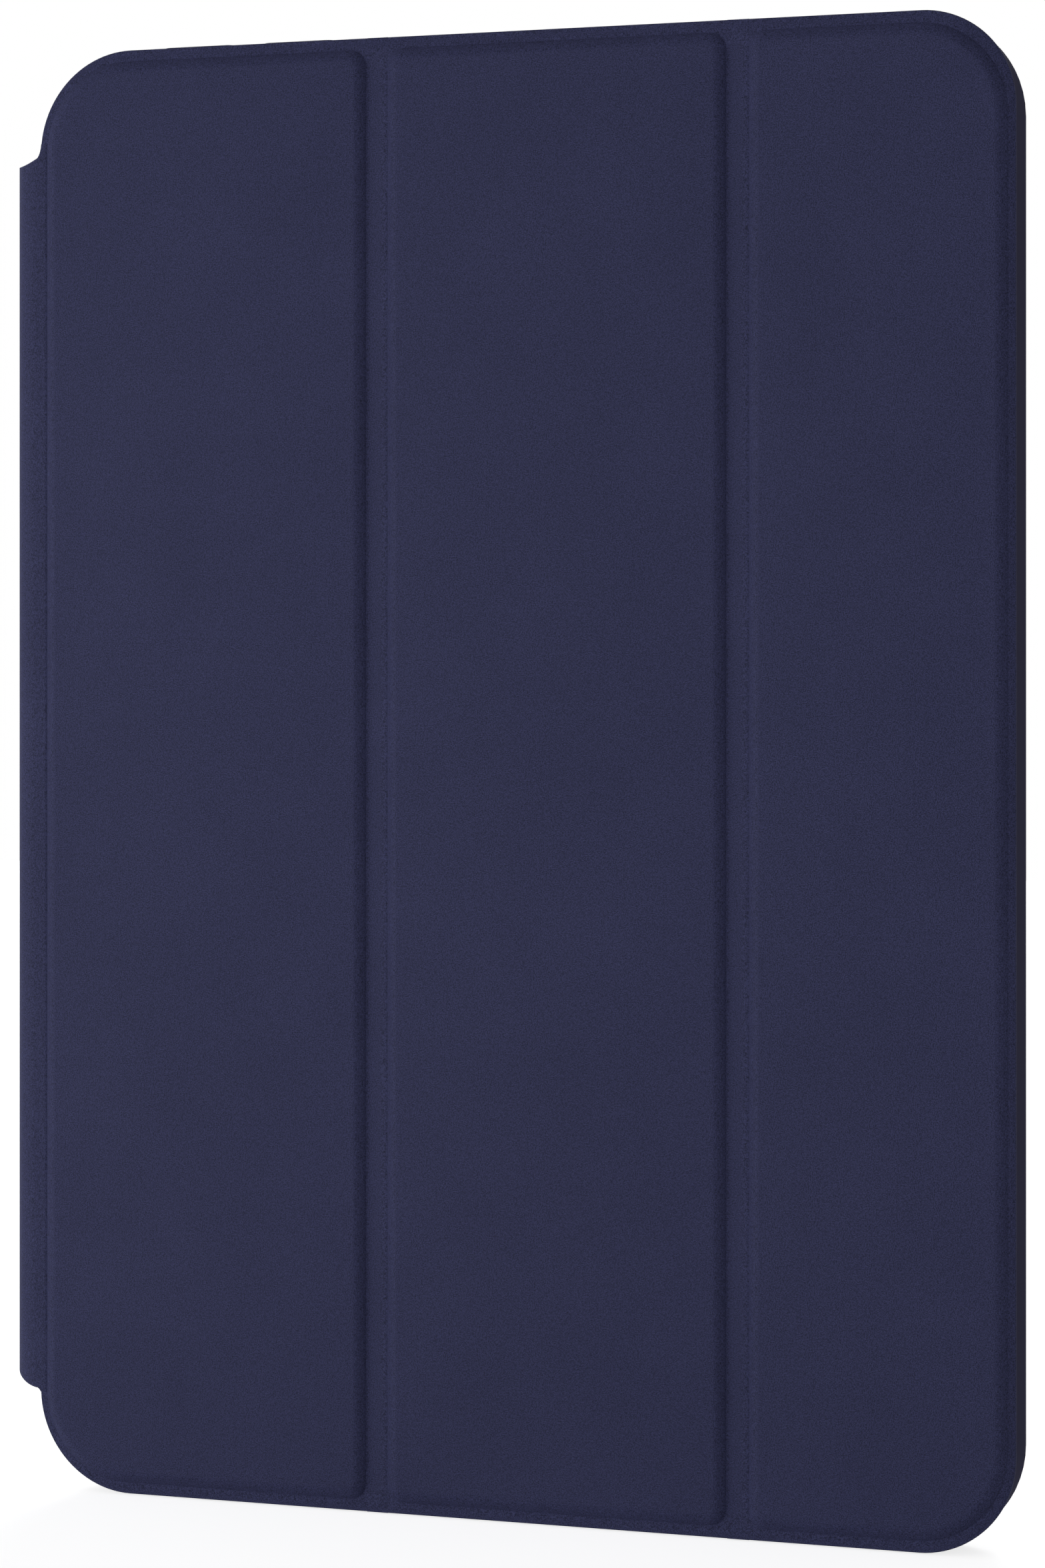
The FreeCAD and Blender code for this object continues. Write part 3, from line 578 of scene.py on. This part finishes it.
def front_crease_ends(x):
    """Bottom and top of the front crease: the top sweeps up hollow into the cover's corner."""
    low_edge = cover_edge(NOTCH_LOW, cover_low.z + COVER_CORNER)
    high_edge = cover_edge(NOTCH_HIGH, cover_high.z - COVER_CORNER)
    low_share = min(1.0, (x - SEAM_X) / (low_edge - SEAM_X))
    high_share = min(1.0, (x - SEAM_X) / (high_edge - SEAM_X))
    sweep = 1 - (1 - high_share**HOLLOW_POWER) ** (1 / HOLLOW_POWER)
    bottom = spine_bottom(0) + (NOTCH_LOW - spine_bottom(0)) * low_share**BOTTOM_POWER
    return bottom, spine_top(0) + (NOTCH_HIGH - spine_top(0)) * sweep


def back_crease_ends(x):
    """Bottom and top of the back crease, which run straight on to the back."""
    share = (x - SEAM_X) / (back_edge - SEAM_X)
    sweep = 1 - math.sqrt(1 - share * share)
    return spine_bottom(0), spine_top(0) + (spine_high.z - spine_top(0)) * sweep


def crease(name, node, ends, end_inset, line_depth, bodies, material):
    """A flat strip in a CAD node's place between two bodies, with a line pressed at its edge."""
    low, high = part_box(node)
    grids = ([], [])
    for step in range(CREASE_STEPS + 1):
        x = low.x + (high.x - low.x) * step / CREASE_STEPS
        into_line = max(0.0, (step / CREASE_STEPS - LINE_START) / (1 - LINE_START))
        pressed = line_depth * into_line**2
        bottom, top = ends(x)
        rows = end_rows(bottom + end_inset, top - end_inset)
        for grid, y in zip(grids, (low.y + pressed, high.y)):
            grid.append([(x, y, z) for z in rows])
    piece = solid_from_grids(name, *grids, material)
    middle = Vector((0.0, (low.y + high.y) / 2, (low.z + high.z) / 2))
    near = middle + Vector((low.x, 0.0, 0.0))
    far = middle + Vector((high.x, 0.0, 0.0))
    if bodies[0] == "tray":
        near, far = far, near
    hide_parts(node)
    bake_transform(piece)


crease(
    "front_crease_leather",
    "spine_front_hinge_skin",
    front_crease_ends,
    0.0,
    CREASE_LINE,
    ("spine", "panel_1"),
    embossed_leather,
)
crease(
    "front_crease_cloth",
    "spine_front_hinge_lining",
    front_crease_ends,
    LINING_INSET,
    0.0,
    ("spine", "panel_1"),
    brushed_microfibre,
)
crease(
    "back_crease_leather",
    "spine_back_hinge_skin",
    back_crease_ends,
    0.0,
    0.0,
    ("tray", "spine"),
    embossed_leather,
)


# Boards and magnets: the stiff plates that make the panels stand proud, and the magnets let into them.
# The boards are grey pressed fibre, faintly mottled, and the magnets are nickel-plated and glued in flush.
pressed_fibreboard, tree, place = new_material("pressed_fibreboard")
fibre_mat = add_node(
    tree,
    "ShaderNodeTexNoise",
    {"Scale": 1 / (0.8 * MM), "Detail": 5.0, "Roughness": 0.65},
    ("Vector", place, "Object"),
)
fibreboard_tone = add_node(
    tree,
    "ShaderNodeMix",
    {"data_type": "RGBA", 6: linear("#6E6B66"), 7: linear("#85827C")},
    (0, fibre_mat, 0),
)
fibreboard_bump = add_node(
    tree, "ShaderNodeBump", {"Strength": 0.3, "Distance": 0.03 * MM}, ("Height", fibre_mat, 0)
)
fibreboard_shader = add_node(
    tree,
    "ShaderNodeBsdfPrincipled",
    {"Roughness": 0.85},
    ("Base Color", fibreboard_tone, 2),
    ("Normal", fibreboard_bump, 0),
)
add_node(tree, "ShaderNodeOutputMaterial", {}, ("Surface", fibreboard_shader, 0))

nickel_plate, tree, place = new_material("nickel_plate")
plating = add_node(
    tree, "ShaderNodeTexNoise", {"Scale": 1 / (0.6 * MM), "Detail": 3.0}, ("Vector", place, "Object")
)
plating_gloss = add_node(
    tree, "ShaderNodeMapRange", {"To Min": 0.22, "To Max": 0.38}, ("Value", plating, 0)
)
nickel_shader = add_node(
    tree,
    "ShaderNodeBsdfPrincipled",
    {"Metallic": 1.0, "Base Color": linear("#B9B4A8")},
    ("Roughness", plating_gloss, 0),
)
add_node(tree, "ShaderNodeOutputMaterial", {}, ("Surface", nickel_shader, 0))
for number in (1, 2, 3):
    dress_node(f"panel_{number}_board", pressed_fibreboard)
for magnet in ("stand_magnets", "closure_magnets", "sleep_magnet"):
    dress_node(magnet, nickel_plate)


# Cover panels: the leather pressed over each board, with a flat rim round the cover's free edges and a
# soft shoulder up to the raised face. It is the same embossed leather, hot-pressed in one sheet and glued
# to the board, and its cut edges are folded thin and rounded.
RIM_END = 1.5 * MM
SIDE_RIM = 0.8 * MM
SHOULDER = 1.75 * MM
SHOULDER_STEPS = 24
SHOULDER_FOOT = 0.12
SHOULDER_POWER = 1.7
PAD_CORNER = 12.2 * MM
FOLD_CORNER = 2.4 * MM
LEAST_CORNER = 0.4 * MM
BOARD_CORNER = 10.6 * MM
BOARD_FOLD_CORNER = 0.8 * MM
EDGE_EASE = 0.15 * MM
EDGE_ROW = 0.07 * MM
HAIR = 0.01 * MM
TOP_ROLL = 0.2 * MM
BOTTOM_ROLL = 0.1 * MM
SIDE_ROLL = 0.38 * MM
LOW_RIGHT_CORNER = 12.8 * MM
HIGH_RIGHT_CORNER = 12.5 * MM
PANEL_ENDS = {1: (True, False), 2: (False, False), 3: (False, True)}


def panel_radii(number, outer, inner):
    """Corner radii of a panel's outline: large at the cover's own corners and small by the folds."""
    left, right = PANEL_ENDS[number]
    near = outer if left else inner
    far = outer if right else inner
    return [near, far, far, near]


def panel_outline(number, low, high, trim, inset, depth):
    """A ring round a panel's outline, drawn in from its free edges only. Panel 1 is notched for the crease.

    Trim is how far inside the leather's edge the sheet is cut.
    """
    left, right = PANEL_ENDS[number]
    sides = (
        low.x + (inset if left else 0.0),
        high.x - (inset if right else 0.0),
        low.z + inset,
        high.z - inset,
    )
    if not left:
        low_right = (LOW_RIGHT_CORNER - trim - inset) * right
        high_right = (HIGH_RIGHT_CORNER - trim - inset) * right
        return rounded_ring(*sides, [0.0, low_right, high_right, 0.0], depth)
    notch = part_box("spine_front_hinge_skin")[1].x
    corner = COVER_CORNER - trim
    reach = corner - inset
    low_turn = math.asin((low.z + corner - NOTCH_LOW) / reach)
    high_turn = math.asin((NOTCH_HIGH - high.z + corner) / reach)
    middle_x = low.x + corner
    trimmed = [(notch, depth, NOTCH_LOW)]
    for step in range(CORNER_STEPS + 1):
        turn = low_turn + (math.pi / 2 - low_turn) * step / CORNER_STEPS
        z = low.z + corner - reach * math.sin(turn)
        trimmed.append((middle_x - reach * math.cos(turn), depth, z))
    trimmed.append((sides[1], depth, sides[2]))
    trimmed.append((sides[1], depth, sides[3]))
    for step in range(CORNER_STEPS + 1):
        turn = math.pi / 2 + (high_turn - math.pi / 2) * step / CORNER_STEPS
        z = high.z - corner + reach * math.sin(turn)
        trimmed.append((middle_x - reach * math.cos(turn), depth, z))
    trimmed.append((notch, depth, NOTCH_HIGH))
    return trimmed


def rim_points(ring, low, high):
    """The ring with points added on its fold sides, level with the inner edge of the rim."""
    full = []
    for (x, y, z), (next_x, _, next_z) in zip(ring, ring[1:] + ring[:1]):
        full.append((x, y, z))
        if next_x == x:
            stops = sorted((low.z + RIM_END, high.z - RIM_END), reverse=next_z < z)
            full += [(x, y, stop) for stop in stops if min(z, next_z) < stop < max(z, next_z)]
    return full


def rolled_edge(number, low, high, point):
    """A point of the rim, set back: the rim falls away towards its edge, most at the cover's right."""
    left, right = PANEL_ENDS[number]
    x, y, z = point
    right_corner = HIGH_RIGHT_CORNER if z > (low.z + high.z) / 2 else LOW_RIGHT_CORNER
    corner = right_corner if right else COVER_CORNER
    near_x = min(max(x, low.x + corner * left), high.x - corner * right)
    near_z = min(max(z, low.z + corner), high.z - corner)
    out = Vector((x - near_x, z - near_z))
    if out.length < HAIR:
        return point
    inset = corner - out.length
    out.normalize()
    side = max(out.x, 0.0) ** 2
    end_roll = TOP_ROLL * max(out.y, 0.0) ** 2 + BOTTOM_ROLL * min(out.y, 0.0) ** 2
    most = end_roll + SIDE_ROLL * side
    rim = RIM_END + (SIDE_RIM - RIM_END) * side
    share = min(max((rim - inset) / (rim - EDGE_EASE), 0.0), 1.0)
    return (x, y + most * share, z)


def shoulder_height(share):
    """The shoulder's rise, 0 to 1: a small hollow foot, an even slope above it and a rounded top."""
    foot = min(1.0, share / SHOULDER_FOOT)
    return (1 - (1 - share) ** SHOULDER_POWER) * foot * foot * (3 - 2 * foot)


def panel_leather(number):
    """The leather of one panel, hollow behind for its board."""
    low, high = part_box(f"panel_{number}_skin")
    board_low, board_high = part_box(f"panel_{number}_board")
    low.x = cover_left if number == 1 else low.x
    left, right = PANEL_ENDS[number]
    rim_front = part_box("fold_1_skin")[0].y
    pad_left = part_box("spine_front_hinge_skin")[1].x + HAIR if left else low.x + HAIR
    pad_right = high.x - SIDE_RIM if right else high.x - HAIR
    bm = bmesh.new()

    eased = eased_edge(rim_front, high.y, EDGE_EASE)[: EASE_STEPS + 1]
    outline = [rim_points(panel_outline(number, low, high, 0.0, 0.0, high.y), low, high)]
    for inset, depth in [*reversed(eased), (EDGE_EASE + EDGE_ROW, rim_front)]:
        ring = rim_points(panel_outline(number, low, high, 0.0, inset, depth), low, high)
        outline.append([rolled_edge(number, low, high, point) for point in ring])
    outline_ends = join_rings(bm, outline)

    shoulder = []
    pad_corners = panel_radii(number, PAD_CORNER, FOLD_CORNER)
    for step in range(SHOULDER_STEPS + 1):
        share = step / SHOULDER_STEPS
        inset = SHOULDER * share
        corners = [max(radius - inset, LEAST_CORNER) for radius in pad_corners]
        sides = (pad_left + inset, pad_right - inset, low.z + RIM_END + inset, high.z - RIM_END - inset)
        depth = rim_front + (low.y - rim_front) * shoulder_height(share)
        shoulder.append(rounded_ring(*sides, corners, depth))
    shoulder_ends = join_rings(bm, shoulder)

    board_sides = (board_low.x, board_high.x, board_low.z, board_high.z)
    board_corners = panel_radii(number, BOARD_CORNER, BOARD_FOLD_CORNER)
    hollow = [rounded_ring(*board_sides, board_corners, depth) for depth in (high.y, board_low.y)]
    hollow_ends = join_rings(bm, hollow)

    fill_between(bm, outline_ends[1] + shoulder_ends[0])
    fill_between(bm, shoulder_ends[1])
    fill_between(bm, outline_ends[0] + hollow_ends[0])
    fill_between(bm, hollow_ends[1])
    piece = finish_piece(f"panel_{number}_leather", bm, embossed_leather)
    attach(piece, f"panel_{number}")
    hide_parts(f"panel_{number}_skin")


for number in (1, 2, 3):
    panel_leather(number)


# Panel linings: brushed microfibre bonded to the back of each panel, cut a hair inside the leather's edge.
# It faces the screen, and its nap is brushed the long way.
LINING_EASE = 0.2 * MM


def panel_lining(number):
    """The lining of one panel, with its free edge pressed thin."""
    low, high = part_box(f"panel_{number}_lining")
    low.x = cover_left + LINING_INSET if number == 1 else low.x
    bm = bmesh.new()
    edge = [(0.0, low.y), *eased_edge(low.y, high.y, LINING_EASE)[EASE_STEPS + 1 :]]
    rings = [panel_outline(number, low, high, LINING_INSET, inset, depth) for inset, depth in edge]
    ends = join_rings(bm, rings)
    for end in ends:
        fill_between(bm, end)
    piece = finish_piece(f"panel_{number}_cloth", bm, brushed_microfibre)
    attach(piece, f"panel_{number}")
    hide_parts(f"panel_{number}_lining")


for number in (1, 2, 3):
    panel_lining(number)


# Folds: the leather and lining in the two grooves between the panels, with no board, which bend outwards.
# Each is a strip of the same sheet. The leather is dished across the groove, with a pressed line along the
# foot of the next panel, and both fade out into the flat rim at the cover's ends.
COLUMNS_ACROSS = 33
ROWS_ALONG = 121
DISH_SKEW = 0.6
FOLD_LINE_START = 0.85
FADE_START = 0.9 * RIM_END
FADE_END = 2.8 * RIM_END
DISH_DEPTH = 0.12 * MM
FOLD_LINE = 0.05 * MM
FLAT = {"Dish": 0.0, "Pressed line": 0.0, "Top roll": 0.0, "Bottom roll": 0.0}
DISHED = {
    "Dish": DISH_DEPTH,
    "Pressed line": FOLD_LINE,
    "Top roll": TOP_ROLL,
    "Bottom roll": BOTTOM_ROLL,
}
fold_tree = bpy.data.node_groups.new("fold_strip", "GeometryNodeTree")
for name in ("Width", "Thickness", "Length", *DISHED):
    fold_tree.interface.new_socket(name=name, in_out="INPUT", socket_type="NodeSocketFloat")
fold_tree.interface.new_socket(name="Place", in_out="INPUT", socket_type="NodeSocketVector")
fold_tree.interface.new_socket(name="Sheet", in_out="INPUT", socket_type="NodeSocketMaterial")
fold_tree.interface.new_socket(name="Strip", in_out="OUTPUT", socket_type="NodeSocketGeometry")
strip = add_node(fold_tree, "NodeGroupInput", {})
sheet_grid = add_node(
    fold_tree,
    "GeometryNodeMeshGrid",
    {"Size X": 1.0, "Size Y": 1.0, "Vertices X": COLUMNS_ACROSS, "Vertices Y": ROWS_ALONG},
)
spot = add_node(fold_tree, "GeometryNodeInputPosition", {})
spot_parts = add_node(fold_tree, "ShaderNodeSeparateXYZ", {}, (0, spot, 0))
across = add_node(fold_tree, "ShaderNodeMath", {"operation": "ADD", 1: 0.5}, (0, spot_parts, "X"))
sideways = add_node(
    fold_tree, "ShaderNodeMath", {"operation": "MULTIPLY"}, (0, across, 0), (1, strip, "Width")
)
half_turn = add_node(
    fold_tree, "ShaderNodeMath", {"operation": "MULTIPLY", 1: math.pi}, (0, spot_parts, "Y")
)
close_at_ends = add_node(fold_tree, "ShaderNodeMath", {"operation": "SINE"}, (0, half_turn, 0))
half_length = add_node(
    fold_tree, "ShaderNodeMath", {"operation": "MULTIPLY", 1: 0.5}, (0, strip, "Length")
)
height = add_node(
    fold_tree, "ShaderNodeMath", {"operation": "MULTIPLY"}, (0, close_at_ends, 0), (1, half_length, 0)
)
skewed = add_node(fold_tree, "ShaderNodeMath", {"operation": "POWER", 1: DISH_SKEW}, (0, across, 0))
arch = add_node(fold_tree, "ShaderNodeMath", {"operation": "MULTIPLY", 1: math.pi}, (0, skewed, 0))
dish_curve = add_node(fold_tree, "ShaderNodeMath", {"operation": "SINE"}, (0, arch, 0))
dish = add_node(
    fold_tree, "ShaderNodeMath", {"operation": "MULTIPLY"}, (0, dish_curve, 0), (1, strip, "Dish")
)
by_next_panel = add_node(
    fold_tree, "ShaderNodeMapRange", {"From Min": FOLD_LINE_START, "From Max": 1.0}, ("Value", across, 0)
)
line_curve = add_node(fold_tree, "ShaderNodeMath", {"operation": "POWER", 1: 2.0}, (0, by_next_panel, 0))
pressed_line = add_node(
    fold_tree, "ShaderNodeMath", {"operation": "MULTIPLY"}, (0, line_curve, 0), (1, strip, "Pressed line")
)
pressed = add_node(fold_tree, "ShaderNodeMath", {"operation": "ADD"}, (0, dish, 0), (1, pressed_line, 0))
from_top = add_node(
    fold_tree, "ShaderNodeMath", {"operation": "SUBTRACT"}, (0, half_length, 0), (1, height, 0)
)
from_bottom = add_node(
    fold_tree, "ShaderNodeMath", {"operation": "ADD"}, (0, half_length, 0), (1, height, 0)
)
from_end = add_node(
    fold_tree, "ShaderNodeMath", {"operation": "MINIMUM"}, (0, from_top, 0), (1, from_bottom, 0)
)
past_rim = add_node(
    fold_tree,
    "ShaderNodeMapRange",
    {"interpolation_type": "SMOOTHSTEP", "From Min": FADE_START, "From Max": FADE_END},
    ("Value", from_end, 0),
)
faded = add_node(
    fold_tree, "ShaderNodeMath", {"operation": "MULTIPLY"}, (0, pressed, 0), (1, past_rim, 0)
)
top_roll = add_node(
    fold_tree,
    "ShaderNodeMapRange",
    {"From Min": RIM_END, "From Max": EDGE_EASE, "To Min": 0.0},
    ("Value", from_top, 0),
    ("To Max", strip, "Top roll"),
)
bottom_roll = add_node(
    fold_tree,
    "ShaderNodeMapRange",
    {"From Min": RIM_END, "From Max": EDGE_EASE, "To Min": 0.0},
    ("Value", from_bottom, 0),
    ("To Max", strip, "Bottom roll"),
)
rolled = add_node(
    fold_tree, "ShaderNodeMath", {"operation": "ADD"}, (0, top_roll, 0), (1, bottom_roll, 0)
)
set_back = add_node(fold_tree, "ShaderNodeMath", {"operation": "ADD"}, (0, faded, 0), (1, rolled, 0))
front_place = add_node(
    fold_tree, "ShaderNodeCombineXYZ", {}, ("X", sideways, 0), ("Y", set_back, 0), ("Z", height, 0)
)
front = add_node(
    fold_tree, "GeometryNodeSetPosition", {}, ("Geometry", sheet_grid, 0), ("Position", front_place, 0)
)
through = add_node(fold_tree, "ShaderNodeCombineXYZ", {}, ("Y", strip, "Thickness"))
thickened = add_node(
    fold_tree,
    "GeometryNodeExtrudeMesh",
    {"Individual": False, "Offset Scale": 1.0},
    ("Mesh", front, 0),
    ("Offset", through, 0),
)
back_place = add_node(
    fold_tree,
    "ShaderNodeCombineXYZ",
    {},
    ("X", spot_parts, "X"),
    ("Y", strip, "Thickness"),
    ("Z", spot_parts, "Z"),
)
backed = add_node(
    fold_tree,
    "GeometryNodeSetPosition",
    {},
    ("Geometry", thickened, "Mesh"),
    ("Selection", thickened, "Top"),
    ("Position", back_place, 0),
)
both_faces = add_node(fold_tree, "GeometryNodeJoinGeometry", {}, (0, front, 0), (0, backed, 0))
closed = add_node(
    fold_tree, "GeometryNodeMergeByDistance", {"Distance": SEAM_GAP}, ("Geometry", both_faces, 0)
)
placed = add_node(
    fold_tree, "GeometryNodeTransform", {}, ("Geometry", closed, 0), ("Translation", strip, "Place")
)
realized = add_node(fold_tree, "GeometryNodeRealizeInstances", {}, ("Geometry", placed, 0))
covered = add_node(
    fold_tree, "GeometryNodeSetMaterial", {}, ("Geometry", realized, 0), ("Material", strip, "Sheet")
)
add_node(fold_tree, "NodeGroupOutput", {}, (0, covered, 0))


def fold_strip(name, node, shape, material):
    """A strip in a CAD node's place between two panels."""
    low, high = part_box(node)
    middle_z = (low.z + high.z) / 2
    pattern = bpy.data.objects.new(name, bpy.data.meshes.new(name))
    scene.collection.objects.link(pattern)
    maker = pattern.modifiers.new("fold_strip", "NODES")
    maker.node_group = fold_tree
    values = {
        "Width": high.x - low.x,
        "Thickness": high.y - low.y,
        "Length": high.z - low.z,
        "Place": (low.x, low.y, middle_z),
        "Sheet": material,
        **shape,
    }
    for socket in fold_tree.interface.items_tree:
        if socket.name in values:
            maker[socket.identifier] = values[socket.name]
    made = bpy.data.meshes.new_from_object(pattern.evaluated_get(bpy.context.evaluated_depsgraph_get()))
    pattern.modifiers.remove(maker)
    bpy.data.objects.remove(pattern)
    bm = bmesh.new()
    bm.from_mesh(made)
    piece = finish_piece(name, bm, material)
    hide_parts(node)
    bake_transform(piece)


for number in (1, 2):
    fold = f"fold_{number}"
    fold_strip(f"{fold}_leather", f"{fold}_skin", DISHED, embossed_leather)
    fold_strip(f"{fold}_cloth", f"{fold}_lining", FLAT, brushed_microfibre)


# Studio: a pale floor, a long low soft light to the front left, a weak strip low in front, a soft fill
# behind and a white surround that lights less from above. The camera looks level from the front right, as
# the photograph was taken.
FLOOR_REACH = 1.6
FLOOR_GLOW = 0.76
SIDE_LIGHT = 0.36
TOP_LIGHT = 0.18


def background_seen(tree):
    """A node that is 1 where the background itself is looked at, straight, in a mirror or through glass."""
    ray = add_node(tree, "ShaderNodeLightPath", {})
    mirrored = add_node(
        tree,
        "ShaderNodeMath",
        {"operation": "MAXIMUM"},
        (0, ray, "Is Camera Ray"),
        (1, ray, "Is Glossy Ray"),
    )
    return add_node(
        tree,
        "ShaderNodeMath",
        {"operation": "MAXIMUM"},
        (0, mirrored, 0),
        (1, ray, "Is Transmission Ray"),
    )


floor_corners = [(-1, -1), (1, -1), (1, 1), (-1, 1)]
floor_points = [(x * FLOOR_REACH, y * FLOOR_REACH, 0.0) for x, y in floor_corners]
floor_mesh = bpy.data.meshes.new("floor")
floor_mesh.from_pydata(floor_points, [], [(0, 1, 2, 3)])
floor = bpy.data.objects.new("floor", floor_mesh)
scene.collection.objects.link(floor)
floor_paint, tree, place = new_material("floor_paint")
looked_at = background_seen(tree)
glow = add_node(tree, "ShaderNodeMath", {"operation": "MULTIPLY", 1: FLOOR_GLOW}, (0, looked_at, 0))
matt = add_node(tree, "ShaderNodeBsdfDiffuse", {"Color": linear("#F0F0F0")})
paper = add_node(tree, "ShaderNodeEmission", {"Color": linear("#FFFFFF")}, ("Strength", glow, 0))
floor_shader = add_node(tree, "ShaderNodeAddShader", {}, (0, matt, 0), (1, paper, 0))
add_node(tree, "ShaderNodeOutputMaterial", {}, ("Surface", floor_shader, 0))
floor_mesh.materials.append(floor_paint)

studio = bpy.data.worlds.new("studio")
studio.use_nodes = True
tree = studio.node_tree
tree.nodes.clear()
looked_at = background_seen(tree)
sky_place = add_node(tree, "ShaderNodeTexCoord", {})
sky_height = add_node(tree, "ShaderNodeSeparateXYZ", {}, (0, sky_place, "Generated"))
sky = add_node(
    tree,
    "ShaderNodeMapRange",
    {"To Min": SIDE_LIGHT, "To Max": TOP_LIGHT},
    ("Value", sky_height, "Z"),
)
level = add_node(tree, "ShaderNodeMapRange", {"To Max": 1.0}, ("Value", looked_at, 0), ("To Min", sky, 0))
surround = add_node(
    tree, "ShaderNodeBackground", {"Color": linear("#FFFFFF")}, ("Strength", level, 0)
)
add_node(tree, "ShaderNodeOutputWorld", {}, ("Surface", surround, 0))
scene.world = studio
scene.view_settings.view_transform = "Standard"

for name, spot, aim_height, width, height, watts in (
    ("front_left_softbox", (-0.62, -0.6, 0.08), -0.3, 0.6, 0.14, 3.85),
    ("low_front_strip", (0.2, -0.34, 0.03), 0.0, 0.3, 0.04, 0.12),
    ("back_fill", (-0.6, 2.2, 1.2), 0.1, 1.0, 1.0, 22.0),
):
    lamp = bpy.data.lights.new(name, "AREA")
    lamp.shape = "RECTANGLE"
    lamp.size = width
    lamp.size_y = height
    lamp.energy = watts
    holder = bpy.data.objects.new(name, lamp)
    holder.location = spot
    aim = Vector((0.0, 0.0, aim_height)) - Vector(spot)
    holder.rotation_euler = aim.to_track_quat("-Z", "Y").to_euler()
    scene.collection.objects.link(holder)

FOCAL_PIXELS = 7079.38
FRAME_HEIGHT = 2353
HORIZON_ROW = 951.48
SENSOR = 36.0
lens = bpy.data.cameras.new("camera")
lens.sensor_width = SENSOR
lens.lens = FOCAL_PIXELS * SENSOR / FRAME_HEIGHT
lens.shift_y = (HORIZON_ROW - FRAME_HEIGHT / 2) / FRAME_HEIGHT
lens.clip_start = 0.01
camera = bpy.data.objects.new("camera", lens)
camera.location = (0.236460, -0.585955, 0.118114)
camera.rotation_euler = (math.pi / 2, 0.0, 0.3797601)
scene.collection.objects.link(camera)
scene.camera = camera


bpy.context.view_layer.update()
